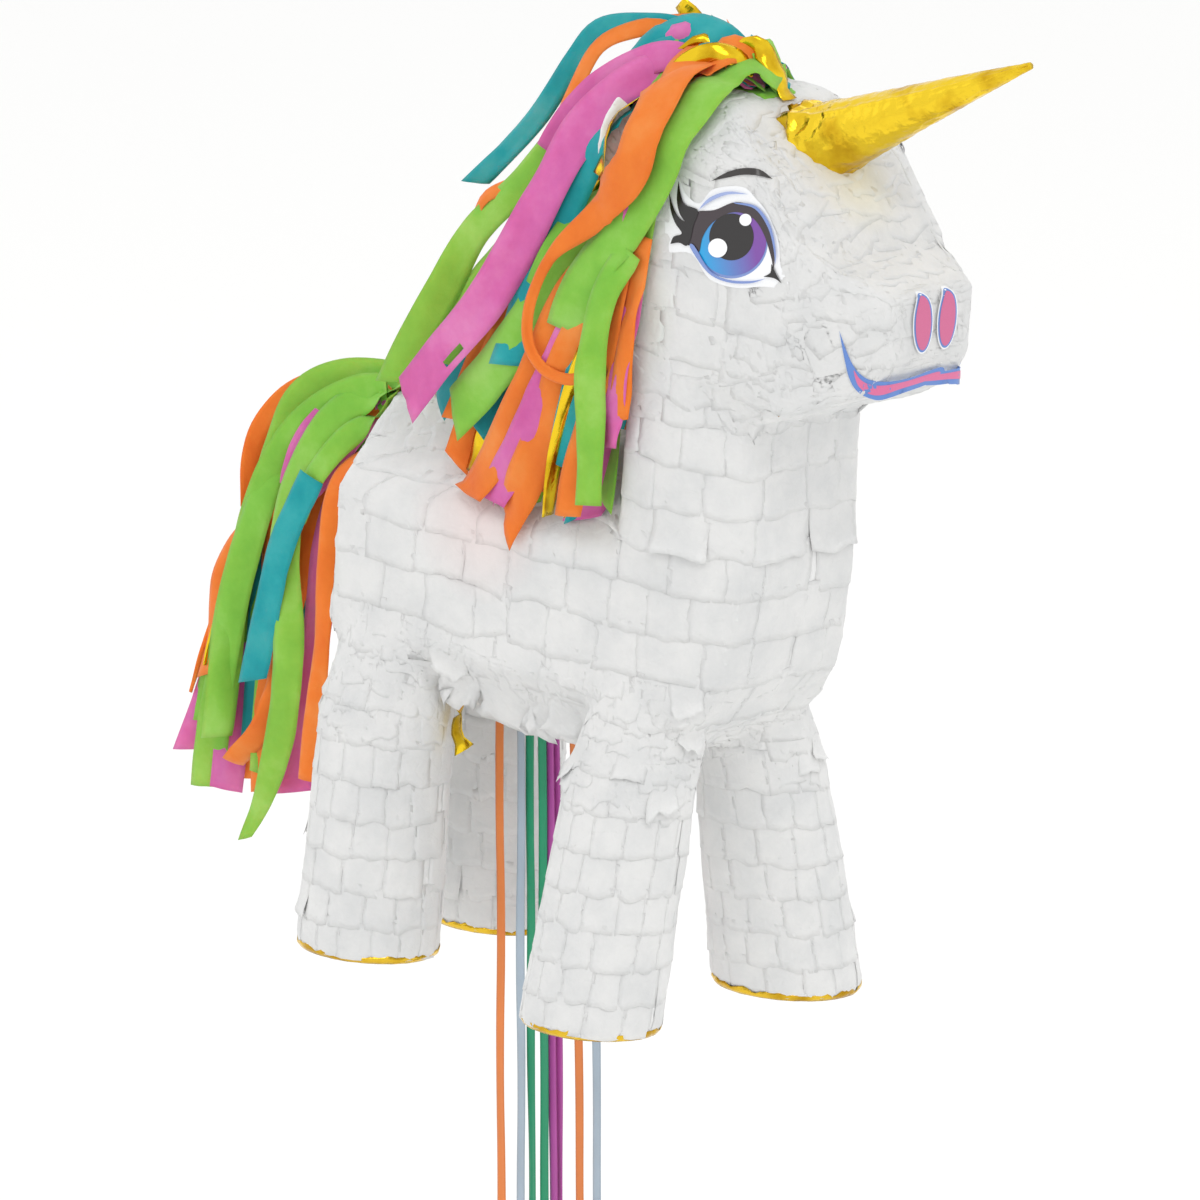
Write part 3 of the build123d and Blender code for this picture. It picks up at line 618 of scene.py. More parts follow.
def ringRow(store, top, height, width, centreAt, keep, reach=0.3, columns=9, rows=7, floor=None, overlap=1.6,
            wave=4.0):
    # One fringed strip round the form: its tabs are spaced by arc length along the contour
    count, middle = 240, top - height / 2
    x, y = centreAt(middle)
    line = []
    for k in range(count + 1):
        angle = 2 * math.pi * k / count
        way = ahead * math.cos(angle) + sideways * math.sin(angle)
        hit = skinTree.ray_cast(stand(x, y, middle), way, reach)[0]
        line.append((angle, hit))
    shift, run, marks = random.random() * width, 0.0, []
    for (angle, hit), (_, after) in zip(line, line[1:]):
        marks.append((angle, run))
        if hit is not None and after is not None:
            run += (hit - after).length * 1000
    marks.append((2 * math.pi, run))
    lengths, angles = [m[1] for m in marks], [m[0] for m in marks]
    at = shift
    while at < run + shift - width / 2:
        size = width * random.uniform(0.7, 1.35)
        first, last = at - overlap, at + size + overlap
        at += size

        def place(a, b, first=first, last=last):
            angle = float(np.interp((first + (last - first) * a) % run, lengths, angles))
            z = top - b * height + wave * noise.noise(Vector((3 * math.cos(angle), 3 * math.sin(angle), top)))
            if floor is not None:
                z = max(z, floor)
            cx, cy = centreAt(z)
            way = ahead * math.cos(angle) + sideways * math.sin(angle)
            hit, normal = skinTree.ray_cast(stand(cx, cy, z), way, reach)[:2]
            return None if hit is None else (hit, normal)

        centre = place(0.5, 0.5)
        if centre and keep(fromStanding(centre[0]), centre[1]):
            addTab(store, place, columns, rows)


def addPatch(store, at, normal, down, width, height, cells=6, lift=None, rag=0.2):
    # One torn piece of tissue pressed onto the form around a point
    down = (down - normal * down.dot(normal)).normalized()
    across = normal.cross(down)

    def place(a, b):
        guess = at + (across * (a - 0.5) * width + down * (b - 0.5) * height) * 0.001
        hit, facing = skinTree.find_nearest(guess)[:2]
        return None if hit is None else (hit, facing)

    return addTab(store, place, cells, cells, rag, lift)


def scatterPatches(store, wanted, spacing, width, height, downOf, lift=None):
    # Pieces pasted at random wherever wanted(place, normal) says, no two centres nearer than the spacing
    picked = []
    order = list(range(len(skin.data.vertices)))
    random.shuffle(order)
    cells = {}
    for index in order:
        vertex = skin.data.vertices[index]
        place = fromStanding(vertex.co)
        normal = vertex.normal
        local = Vector((normal.dot(ahead), normal.y, normal.dot(skyward)))
        if not wanted(place, local):
            continue
        key = tuple(int(c // spacing) for c in place)
        near = [p for i in (-1, 0, 1) for j in (-1, 0, 1) for k in (-1, 0, 1)
                for p in cells.get((key[0] + i, key[1] + j, key[2] + k), ())]
        if any((p - place).length < spacing for p in near):
            continue
        cells.setdefault(key, []).append(place)
        picked.append((vertex.co.copy(), normal.copy(), place))
    for at, normal, place in picked:
        turn = random.uniform(-0.35, 0.35)
        down = downOf(place) + normal.cross(downOf(place)) * turn
        addPatch(store, at, normal, down, width * random.uniform(0.75, 1.2),
                 height * random.uniform(0.75, 1.2),
                 8, lift)


def legCentre(name):
    foot, knee, hip = legAxes[name]

    def at(z):
        (xa, ya, za), (xb, yb, zb) = (foot, knee) if z < knee[2] else (knee, hip)
        t = (z - za) / (zb - za)
        return xa + (xb - xa) * t, ya + (yb - ya) * t
    return at


def finishTabs(name, store, body="shell"):
    piece = meshObject(name, store[0], store[1], [whiteTissue])
    thicken(piece, tabPlan["paper"])
    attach(piece, body)
    print(name, len(store[1]), "faces")


def makeBodyFringe():
    store = ([], [])
    plan = rowPlan["body"]
    for top in plan["tops"]:
        ringRow(store, top, plan["height"], plan["width"], lambda z: plan["centre"],
                lambda p, n, top=top: not (top > 255 and p.x > 38), floor=135.5)
    finishTabs("body_tissue_fringe", store)


def makeNeckFringe():
    store = ([], [])
    plan = rowPlan["neck"]
    for top in plan["tops"]:
        ringRow(store, top, plan["height"], plan["width"], lambda z: plan["centre"],
                lambda p, n: p.x > 34 and p.z < 322 and n.dot(skyward) < 0.6)
    plan = rowPlan["cheek"]
    for top in plan["tops"]:
        ringRow(store, top, plan["height"], plan["width"], lambda z: plan["centre"],
                lambda p, n: p.x < 132 and abs(n.dot(skyward)) < 0.6)
    finishTabs("head_tissue_fringe", store)


def makeLegFringe(name):
    store = ([], [])
    plan, centreAt = rowPlan["leg"], legCentre(name)
    for top in plan["tops"]:
        ringRow(store, top, plan["height"], plan["width"], centreAt, lambda p, n: True,
                reach=0.042, columns=6, rows=6, floor=1.6, overlap=1.0, wave=2.5)
    finishTabs(name + "_leg_fringe", store)


def makePatches():
    backwards, downwards = -ahead, -skyward
    store = ([], [])

    def headFront(p, n):
        return p.z > 316 and (p.x > 126 or p.z > 452 or abs(n.z) > 0.55)

    def headDown(p):
        return downwards * 0.6 + ahead * (0.6 if p.z > 400 else 0.1)
    scatterPatches(store, headFront, 12, 36, 32, headDown, 0.25)
    finishTabs("head_pasted_tissue", store)
    store = ([], [])

    def plainBack(p, n):
        return p.z > 262 and p.x < 36 and n.z > 0.6 and not inZone(p, fillZone, 7)

    def plainBelly(p, n):
        return 130 < p.z < 160 and n.z < -0.45 and not inZone(p, doorZone, 15) and abs(p.y) < 57

    def shoulders(p, n):
        return 118 < p.z < 172 and abs(p.y) > 36 and min(abs(p.x - 68), abs(p.x + 96)) < 42
    scatterPatches(store, plainBack, 9, 22, 22, lambda p: backwards)
    scatterPatches(store, plainBelly, 9, 22, 22, lambda p: backwards)
    scatterPatches(store, shoulders, 10, 17, 20, lambda p: downwards)
    finishTabs("body_pasted_tissue", store)


def makeDoorTissue():
    # The trap door is papered over with the rest, so it keeps its own tissue when it drops
    store = ([], [])
    rear, front, half = doorZone
    across, along, seam, under = 3, 5, 0.6, 133.4     # pieces each way, mm, height of the door's underside
    for i in range(along):
        for j in range(across):
            x0 = front - (front - rear) * i / along - seam
            x1 = front - (front - rear) * (i + 1) / along + seam
            y0 = -half + 2 * half * j / across + seam
            y1 = -half + 2 * half * (j + 1) / across - seam

            def place(a, b, x0=x0, x1=x1, y0=y0, y1=y1):
                x = x0 + (x1 - x0) * min(b, 1.0)
                y = y0 + (y1 - y0) * min(max(a, 0.0), 1.0)
                return stand(x, y, under), -skyward
            addTab(store, place, 6, 7, rag=0.1, lift=random.uniform(0.4, 1.6), layer=0.5)
    finishTabs("trap_door_tissue", store, body="trap_door")


def makeTornBits():
    # Loose torn flaps that hang under the belly and at the tops of the legs
    store = ([], [])
    for x, y, z, width, height, lift in tornBits:
        at, normal = formTree.find_nearest(stand(x, y, z))[:2]
        addPatch(store, at, normal, -skyward * 0.8 - ahead * 0.3, width, height, 8, lift, 0.5)
    finishTabs("torn_tissue_bits", store)


tornBits = [                 # place, width, height and how far the free edge hangs out, all mm
    (-49, -45, 146, 30, 26, 9), (-20, -38, 140, 34, 30, 8), (12, -42, 140, 30, 26, 7),
    (20, -44, 142, 26, 24, 8),
    (0, -40, 138, 22, 24, 9), (36, -44, 146, 22, 26, 6), (-50, -52, 160, 20, 22, 5),
    (52, -60, 128, 18, 24, 4),
    (-50, 45, 146, 30, 26, 8), (-10, 38, 140, 34, 28, 7), (20, 40, 142, 28, 26, 7),
    (-118, -46, 128, 18, 26, 3),
    (92, -58, 120, 16, 22, 3), (100, -40, 150, 20, 24, 4), (66, -22, 136, 24, 22, 6),
    (48, 60, 130, 18, 24, 4),
]

makeBodyFringe()
makeNeckFringe()
for name in legAxes:
    makeLegFringe(name)
makePatches()
makeDoorTissue()
makeTornBits()
print("tissue fringed")


def openSkin():
    # The skin is left open at the trap door, at the filling flap and under the soles
    bm = bmesh.new()
    bm.from_mesh(skin.data)
    gone = []
    for face in bm.faces:
        place = fromStanding(face.calc_center_median())
        atDoor = inZone(place, doorOpening, 0.4) and place.z < openHeights["door"]
        atFill = inZone(place, fillZone, 0.4) and place.z > openHeights["fill"]
        atSole = place.z < openHeights["sole"]
        if atDoor or atFill or atSole:
            gone.append(face)
    bmesh.ops.delete(bm, geom=gone, context="FACES")
    bm.to_mesh(skin.data)
    bm.free()


openSkin()
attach(skin, "shell")
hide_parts("body_tissue", "head_tissue", "leg_tissues")

# --- Streamers of the mane and tail: cut strips of tissue and foil, each its own sheet

streamerPlan = {
    "step": 3.5,             # mm between cross rows
    "across": 6,             # cells across
    "paper": 0.00018,
    "crease": 0.9,           # mm
    "clear": 3.2,            # mm that they stay off the smooth form
    "freeFrom": 8,           # mm off the form where a strip starts to turn its face to the side
    "freeOver": 14,          # mm further, where it has turned
    "freeFace": (0.45, 0.87, 0.15),
    "evening": 6,            # rounds that even out the facing along the strip
    "hole": 0.03,            # half length of a torn hole, as a share of the strip
}


def smoothPath(points, step):
    # Catmull-Rom through the given points, about one sample every step millimetres
    ends = [points[0] * 2 - points[1]] + list(points) + [points[-1] * 2 - points[-2]]
    path = []
    for a, b, c, d in zip(ends, ends[1:], ends[2:], ends[3:]):
        count = max(2, int((c - b).length / step))
        for k in range(count):
            t = k / count
            path.append(0.5 * (2 * b + (c - a) * t + (2 * a - 5 * b + 4 * c - d) * t * t
                               + (3 * b - a - 3 * c + d) * t ** 3))
    return path + [points[-1].copy()]


def makeStreamer(name, colour, width, points, layer=0.0, taper=1.0, twist=0.0, slant=0.0, curl=1.0, hole=None,
                 taperFrom=0.35, taperTo=1.0, fold=0.0):
    # width in mm, points in the standing frame, taper is the end's width as a share, twist in turns
    seed = random.random() * 90
    path = smoothPath([Vector(p) for p in points], streamerPlan["step"])
    outward, (freeX, freeY, freeZ) = [], streamerPlan["freeFace"]
    for p in path:
        at, facing = formTree.find_nearest(stand(*p))[:2]
        offset = stand(*p) - at
        away = offset.normalized() if offset.dot(facing) > 0.0015 else facing.copy()
        free = min(1.0, max(0.0, (offset.length * 1000 - streamerPlan["freeFrom"]) / streamerPlan["freeOver"]))
        aside = Vector((freeX, -freeY if p[1] < 0 else freeY, freeZ))
        outward.append(away.lerp(aside, free * 0.8).normalized())
    for _ in range(streamerPlan["evening"]):
        outward = [(outward[max(i - 1, 0)] + outward[i] + outward[min(i + 1, len(path) - 1)]).normalized()
                   for i in range(len(path))]
    cells, made, faces = streamerPlan["across"], [], []
    total = len(path) - 1
    for i, p in enumerate(path):
        s = i / total
        tangent = (stand(*path[min(i + 1, total)]) - stand(*path[max(i - 1, 0)])).normalized()
        across = tangent.cross(outward[i]).normalized()
        face = across.cross(tangent)
        turn = 2 * math.pi * twist * s + 0.5 * noise.noise(Vector((seed, s * 4, 0))) * curl
        leaned = across * math.cos(turn) + face * math.sin(turn)
        lifted = face * math.cos(turn) - across * math.sin(turn)
        share = 1 + (taper - 1) * min(1.0, max(0.0, (s - taperFrom) / (taperTo - taperFrom)))
        half = width / 2 * share * (1 + 0.05 * noise.noise(Vector((seed, s * 9, 5))))
        for j in range(cells + 1):
            t = 2 * j / cells - 1
            ripple = noise.noise(Vector((seed + t * 1.3, i * 0.09, 1)))
            ripple += 0.5 * noise.noise(Vector((t * 3, i * 0.3, seed)))
            rise = streamerPlan["crease"] * ripple + 0.8 * curl * (1 - t * t) - fold * (1 - abs(t)) ** 3
            q = stand(*p) + (leaned * half * t + lifted * rise) * 0.001
            if i > total - 4:
                q += tangent * (slant * t * (i - total + 4) / 4) * 0.001
            at, facing = formTree.find_nearest(q)[:2]
            height = (q - at).dot(facing) * 1000
            least = streamerPlan["clear"] + layer
            if height < least and (q - at).length < 0.06:
                q = at + facing * (least + 0.4 * ripple) * 0.001
            made.append(q)
    ring = cells + 1
    for i in range(total):
        for j in range(cells):
            if hole and abs(i / total - hole) < streamerPlan["hole"] and j == 1:
                continue
            a = i * ring + j
            faces.append((a, a + 1, a + ring + 1, a + ring))
    piece = meshObject(name, made, faces, [streamerMaterials[colour]])
    thicken(piece, streamerPlan["paper"], 0.0)
    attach(piece, "shell")
    share = 1 + (taper - 1) * (1 - (taperFrom + taperTo) / 2)


# Name, colour, width, places along it in the standing frame, and how it is laid
maneStreamers = [
    ("teal_outer", "teal", 11, [(52, -2, 480), (30, -6, 492), (4, -8, 490), (-18, -12, 483), (-29, -16, 466),
     (-44, -22, 436), (-59, -26, 415), (-76, -30, 395)], {"layer": 3, "twist": 0.05, "slant": 5}),
    ("orange_arch", "orange", 10, [(66, 2, 480), (56, 0, 492), (36, -4, 496), (6, -10, 488), (-14, -16, 476),
     (-21, -24, 454), (-27, -34, 428), (-39, -40, 406), (-56, -44, 394), (-62, -44, 384)],
     {"layer": 4, "twist": -0.1, "taper": 0.7}),
    ("pink_long", "pink", 22, [(44, -16, 476), (31, -32, 472), (23, -44, 462), (9, -55, 441), (-2, -64, 410),
     (-17, -69, 374), (-33, -71, 345), (-57, -71, 315), (-80, -67, 287)],
     {"layer": 12, "slant": -5, "hole": 0.82, "fold": 1.4}),
    ("green_back", "green", 18, [(40, -10, 474), (8, -24, 462), (-15, -32, 436), (-33, -42, 407),
                                 (-58, -48, 377),
     (-74, -52, 343), (-90, -54, 312), (-100, -54, 291)], {"layer": 2, "slant": 6}),
    ("teal_middle", "teal", 24, [(44, -30, 472), (24, -50, 448), (8, -58, 414), (-4, -63, 371),
                                 (-16, -64, 318)],
     {"layer": 5, "slant": 4}),
    ("orange_wide", "orange", 23, [(58, -8, 486), (54, -22, 483), (57, -38, 474), (59, -62, 440),
                                   (36, -68, 407),
     (12, -72, 382), (0, -72, 356), (0, -72, 335), (11, -72, 323), (29, -72, 321), (45, -70, 329)],
     {"layer": 11, "taper": 0.26, "taperFrom": 0.36, "taperTo": 0.6, "twist": 0.04}),
    ("green_wide", "green", 25, [(90, 0, 476), (80, -8, 484), (75, -22, 480), (77, -46, 463), (71, -60, 439),
     (57, -65, 412), (43, -67, 391), (30, -68, 372), (20, -67, 344)], {"layer": 6, "slant": 3}),
    ("green_upright", "green", 16, [(56, -66, 392), (46, -72, 366), (43, -74, 330), (45, -73, 300),
                                    (46, -71, 260)],
     {"layer": 7, "slant": 1}),
    ("green_low", "green", 24, [(34, -50, 430), (12, -60, 385), (-8, -64, 340), (-32, -63, 308),
                                (-54, -60, 284)],
     {"layer": 3, "slant": -6}),
    ("orange_low_a", "orange", 21, [(44, -50, 420), (18, -63, 360), (0, -66, 312), (-22, -62, 273),
     (-42, -58, 245)], {"layer": 5, "slant": 7}),
    ("orange_low_b", "orange", 21, [(48, -54, 410), (30, -66, 350), (14, -68, 300), (-2, -64, 262),
     (-14, -60, 236)], {"layer": 4, "slant": -8}),
    ("pink_low", "pink", 20, [(46, -52, 415), (26, -64, 350), (6, -68, 300), (-12, -64, 268),
                              (-26, -60, 246)],
     {"layer": 7, "slant": 5}),
    ("gold_low", "gold", 10, [(44, -66, 370), (30, -69, 320), (22, -69, 288), (16, -66, 248)],
     {"layer": 9, "twist": 0.2}),
    ("orange_low_c", "orange", 14, [(50, -62, 380), (42, -68, 320), (34, -68, 280), (28, -65, 250)],
     {"layer": 6, "slant": 2}),
    ("pink_inner", "pink", 15, [(58, -60, 390), (54, -66, 330), (52, -66, 290)], {"layer": 3, "slant": 2}),
    ("orange_inner", "orange", 12, [(62, -60, 400), (58, -66, 350), (57, -66, 305)],
     {"layer": 4, "slant": 2}),
    ("teal_low", "teal", 16, [(52, -60, 400), (36, -66, 360), (30, -68, 315), (22, -67, 275)], {"layer": 3}),
    ("gold_brow", "gold", 12, [(62, -14, 484), (46, -34, 474), (36, -52, 450), (30, -62, 424)],
     {"layer": 9, "twist": 0.08}),
    ("gold_crown", "gold", 11, [(78, -6, 480), (66, -16, 488), (54, -24, 484), (46, -30, 474)],
     {"layer": 6, "twist": 0.2}),
    ("gold_upright", "gold", 10, [(58, 2, 476), (46, 2, 488), (32, 0, 497), (24, -2, 504)], {"twist": 0.2}),
    ("orange_crown", "orange", 17, [(76, -2, 480), (68, -10, 490), (62, -20, 482), (60, -28, 474)],
     {"layer": 7}),
    ("teal_crown", "teal", 20, [(76, -2, 474), (56, -8, 492), (36, -12, 492), (22, -22, 478), (20, -30, 464)],
     {"layer": 3}),
    ("pink_crown", "pink", 16, [(60, -14, 478), (36, -24, 482), (12, -34, 468), (-6, -40, 448),
                                (-18, -44, 424)],
     {"layer": 7}),
    ("green_crown", "green", 14, [(88, 4, 470), (80, 2, 484), (70, 6, 492), (62, 12, 482)], {"twist": 0.3}),
    ("gold_crown_b", "gold", 11, [(94, 2, 466), (84, 2, 482), (74, -2, 492), (64, -4, 486)], {"twist": 0.2}),
]
tailStreamers = [
    ("green_arch", "green", 18, [(-120, -2, 277), (-140, -2, 277), (-170, -8, 273), (-191, -14, 258),
     (-199, -20, 229), (-208, -24, 191), (-218, -24, 148), (-227, -20, 94), (-233, -16, 48)],
     {"layer": 2, "slant": 2}),
    ("green_pointed", "green", 18, [(-122, -8, 273), (-138, -12, 272), (-158, -20, 260), (-170, -26, 240),
     (-179, -30, 212), (-180, -32, 178), (-173, -32, 138), (-175, -30, 96), (-186, -26, 57), (-202, -20, 28)],
     {"layer": 2, "taper": 0.35, "taperFrom": 0.75, "slant": 4}),
    ("green_rump", "green", 13, [(-122, -14, 268), (-146, -24, 252), (-164, -30, 228), (-176, -32, 200)],
     {"layer": 1, "slant": 2}),
    ("orange_arch_tail", "orange", 13, [(-118, 4, 279), (-150, 2, 276), (-179, -2, 270), (-203, -6, 257),
     (-216, -10, 240), (-221, -12, 221), (-220, -12, 196)], {"layer": 2, "twist": 0.12}),
    ("teal_short", "teal", 15, [(-166, -32, 225), (-178, -36, 190), (-184, -36, 160), (-193, -34, 114)],
     {"layer": 3, "slant": 4}),
    ("orange_rump", "orange", 11, [(-134, -20, 250), (-150, -30, 224), (-150, -34, 180), (-150, -34, 130),
     (-154, -32, 70)], {"layer": 1}),
    ("orange_thin", "orange", 10, [(-196, -10, 220), (-222, -14, 168), (-240, -16, 122), (-248, -16, 94)],
     {"taper": 0.2, "twist": 0.2}),
    ("gold_tail_a", "gold", 10, [(-190, -8, 240), (-206, -18, 200), (-220, -20, 160), (-234, -20, 112)],
     {"twist": 0.2}),
    ("gold_tail_b", "gold", 10, [(-170, 0, 255), (-200, -4, 215), (-220, -8, 140), (-234, -8, 80)],
     {"twist": 0.3}),
    ("pink_tail_a", "pink", 19, [(-150, 0, 268), (-195, -4, 220), (-226, -10, 130), (-247, -12, 64)],
     {"slant": 4, "twist": 0.08}),
    ("green_tail_end", "green", 17, [(-150, 2, 266), (-198, -4, 214), (-226, -12, 130), (-242, -14, 80)],
     {"slant": 4}),
    ("orange_tail_a", "orange", 21, [(-146, 2, 262), (-184, 0, 215), (-204, -4, 130), (-216, -4, 54)],
     {"slant": 3}),
    ("pink_tail_b", "pink", 18, [(-144, 2, 258), (-172, -2, 205), (-178, -6, 120), (-184, -6, 54)],
     {"slant": 3}),
    ("pink_root", "pink", 16, [(-136, -6, 272), (-160, -16, 262), (-178, -22, 240), (-184, -24, 214)],
     {"layer": 1}),
    ("orange_tail_b", "orange", 12, [(-180, -26, 130), (-190, -26, 92), (-212, -22, 66)], {"twist": 0.15}),
    ("green_forward", "green", 14, [(-96, 4, 279), (-112, 0, 282), (-126, -4, 279)], {"layer": 1}),
    ("orange_forward", "orange", 10, [(-92, -4, 279), (-108, -4, 281), (-126, 0, 280)], {"layer": 2}),
]
bellyScraps = [("gold_scrap", "gold", 12, [(-58, -31, 134), (-58, -34, 127), (-56, -37, 117),
                                           (-50, -37, 109)],
                {"twist": 0.3, "curl": 2.0})]


def makeListed(prefix, rows):
    for name, colour, width, points, settings in rows:
        makeStreamer(prefix + name, colour, width, points, **settings)


def randomMane(side, count):
    # The bulk of the mane: strips that spring from the glued band, fold over and fan out backwards
    for k in range(count):
        f = (k + random.random() * 0.6) / count
        rootX = 40 + 42 * f + random.uniform(-4, 4)
        endX = -84 + 130 * f + random.uniform(-8, 8)
        endZ = 262 - 22 * f + random.uniform(-6, 24) + (22 if endX < -70 else 0)
        top = 476 + random.uniform(0, 13) * (1 if side > 0 else 0.35)
        out = 53 if side > 0 else 45
        points = [(rootX, side * 4, 472), (rootX - 10, side * 14, top), (rootX - 24, side * 36, top - 18),
                  (rootX * 0.5 + endX * 0.3 + 6, side * out, 418 - 6 * f),
                  (rootX * 0.2 + endX * 0.75, side * (out + 2), (400 + endZ) / 2),
                  (endX, side * (out + 4), endZ)]
        colour = ("green", "orange", "pink", "teal", "gold", "green", "orange",
                  "teal")[(k * 3 + (side > 0)) % 8]
        width = 10 if colour == "gold" else random.uniform(14, 22)
        name = "mane_%s_%02d" % ("left" if side > 0 else "right", k)
        makeStreamer(name, colour, width, points, layer=random.uniform(0, 1.5) + (2 if side > 0 else 0),
                     twist=random.uniform(-0.12, 0.12), slant=random.uniform(-6, 6), curl=1.4)


def napeCurtain(count):
    # Strips that fall straight down the back of the head and hide the band
    for k in range(count):
        y = -26 + 52 * (k + 0.5) / count
        low = random.uniform(262, 330)
        back = random.uniform(-62, -8)
        points = [(56, y * 0.4, 474), (34, y * 0.7, 480), (16, y, 462), (2, y * 1.1, 420),
                  (back * 0.5, y * 1.2, 360),
                  (back, y * 1.3, low)]
        colour = ("teal", "green", "orange", "pink", "green", "gold")[k % 6]
        width = 10 if colour == "gold" else random.uniform(15, 22)
        makeStreamer("nape_%02d" % k, colour, width, points, layer=random.uniform(0, 2),
                     twist=random.uniform(-0.1, 0.1), slant=random.uniform(-5, 5), curl=1.3)


def randomCrest(count):
    # Short loops that stand up from the band between the ears
    for k in range(count):
        f = (k + 0.5) / count
        x, side = 36 + 50 * f, 1 if k % 2 else -1
        high = 491 - 10 * f + random.uniform(-6, 4)
        points = [(x, side * 3, 471), (x - 4, side * 8, high - 8), (x - 14, side * 12, high),
                  (x - 26, side * 20, high - 12), (x - 30, side * 27, 470 - 10 * (1 - f))]
        colour = ("teal", "green", "orange", "gold", "pink")[k % 5]
        width = 10 if colour == "gold" else random.uniform(12, 19)
        makeStreamer("crest_loop_%02d" % k, colour, width, points, layer=random.uniform(0, 4),
                     twist=random.uniform(-0.2, 0.2), curl=2.0)


def randomTail(count):
    for k in range(count):
        f = (k + 0.5) / count
        y = -24 + 48 * ((k * 7) % count) / count
        low = random.uniform(46, 110)
        rear = -190 - 56 * random.random()
        points = [(-128, y * 0.4, 264), (-150, y * 0.6, 272 - 14 * f),
                  (-176 - 14 * (1 - f), y * 0.9, 240 - 20 * f),
                  (rear * 0.6 - 84, y + 3, 170), (rear, y, low)]
        colour = ("green", "orange", "pink", "green", "teal", "gold", "orange")[k % 7]
        width = 10 if colour == "gold" else random.uniform(14, 20)
        makeStreamer("tail_%02d" % k, colour, width, points, twist=random.uniform(-0.15, 0.15),
                     slant=random.uniform(-5, 5), curl=1.5)


random.seed(3)
makeListed("mane_", maneStreamers)
makeListed("tail_", tailStreamers)
makeListed("belly_", bellyScraps)
random.seed(5)
randomMane(-1, 16)
randomMane(1, 22)
randomCrest(16)
napeCurtain(12)
randomTail(18)
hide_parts("mane_crest")
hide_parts("mane_right_fall")
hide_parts("mane_left_fall")
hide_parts("tail_streamers")
print("streamers cut and hung")

# --- Horn: foil rolled round a paper cone, crushed where it meets the forehead

hornPlan = {
    "base": (118, 0, 450),
    "rise": 27,              # degrees above level
    "length": 146,
    "radius": 19.4,
    "tip": 1.1,
    "sink": 12,              # mm that its foot reaches into the head
    "spin": 1.1,             # radians that the folds turn on their way up
    "folds": 0.30,           # mm, and how much more where it was crushed onto the head
    "crush": 1.5,
    "crushShare": 0.22,      # lowest share of its length
    "seam": 0.9,             # mm that the lap stands out
    "seamAt": 2.3,           # radians round from the left
    "pleats": 9,
    "pleat": 0.9,
    "pleatShare": 0.30,
    "flare": 1.8,            # mm at the foot
    "flareShare": 0.08,
    "core": 0.35,            # mm that the foil stays off its paper core
    "around": 120,
    "along": 130,
}


def makeHorn():
    rise = math.radians(hornPlan["rise"])
    axis = (ahead * math.cos(rise) + skyward * math.sin(rise)).normalized()
    over = axis.cross(sideways).normalized()
    foot = stand(*hornPlan["base"])
    points, faces = [], []
    around, along, sink = hornPlan["around"], hornPlan["along"], hornPlan["sink"]
    for i in range(along + 1):
        s = -sink + (hornPlan["length"] + sink) * i / along
        t = max(s, 0) / hornPlan["length"]
        radius = hornPlan["radius"] * (1 - t) + hornPlan["tip"] * t
        for j in range(around):
            angle = 2 * math.pi * j / around
            spin = angle + hornPlan["spin"] * t
            way = Vector((math.cos(spin) * 2.2, math.sin(spin) * 2.2, s / 11))
            folds = 1 - 3.2 * abs(noise.noise(way))
            small = 1 - 3.0 * abs(noise.noise(way * 2.3 + Vector((7, 0, 0))))
            crush = hornPlan["folds"] + hornPlan["crush"] * max(0.0, 1 - t / hornPlan["crushShare"]) ** 1.5
            lap = math.exp(-((angle - hornPlan["seamAt"] - 0.5 * t) / 0.10) ** 2)
            seam = lap * hornPlan["seam"] * (1 - 0.5 * t)
            pleat = math.sin(spin * hornPlan["pleats"] + 3 * noise.noise(way))
            pleat *= max(0.0, 1 - t / hornPlan["pleatShare"]) * hornPlan["pleat"]
            ring = 0.25 * math.sin(s * 0.9 + 3 * spin) * (1 - t)
            flare = hornPlan["flare"] * max(0.0, 1 - t / hornPlan["flareShare"]) ** 2
            size = radius + 0.4 + (folds + 0.5 * small) * crush * 0.8 + seam + pleat * 0.6 + ring * 0.5 + flare
            size = max(size, radius + hornPlan["core"])
            bend = over * (2.0 * math.sin(t * 2.6)) * 0.4
            side = sideways * math.cos(angle) + over * math.sin(angle)
            points.append(foot + (axis * s + side * size + bend) * 0.001)
            if i:
                a, b = (i - 1) * around + j, (i - 1) * around + (j + 1) % around
                faces.append((a, b, b + around, a + around))
    faces.append(tuple(along * around + j for j in range(around)))
    horn = meshObject("horn_gold_foil", points, faces, [hornFoil])
    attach(horn, "shell")
    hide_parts("horn_foil")


makeHorn()
print("horn rolled")

# --- Printed stickers: each colour is its own thin cut shape, laid over the pressed tissue

printFacing = Vector((0.633, -0.754, 0.174))     # the eye and mouth are drawn as seen from the front right
printRight = Vector((0.766, 0.643, 0.0))
printUp = printFacing.cross(printRight).normalized()
frontFacing = ahead.copy()
eyePlan = {
    "centre": (113, -57, 407),
    "iris": 17.0,
    "pupil": 11.0,
    "raise": 1.9,            # mm over the smooth form
    "layer": 0.12,           # mm between inks
    "reach": 0.06,           # metres out from where each print is pressed on
}
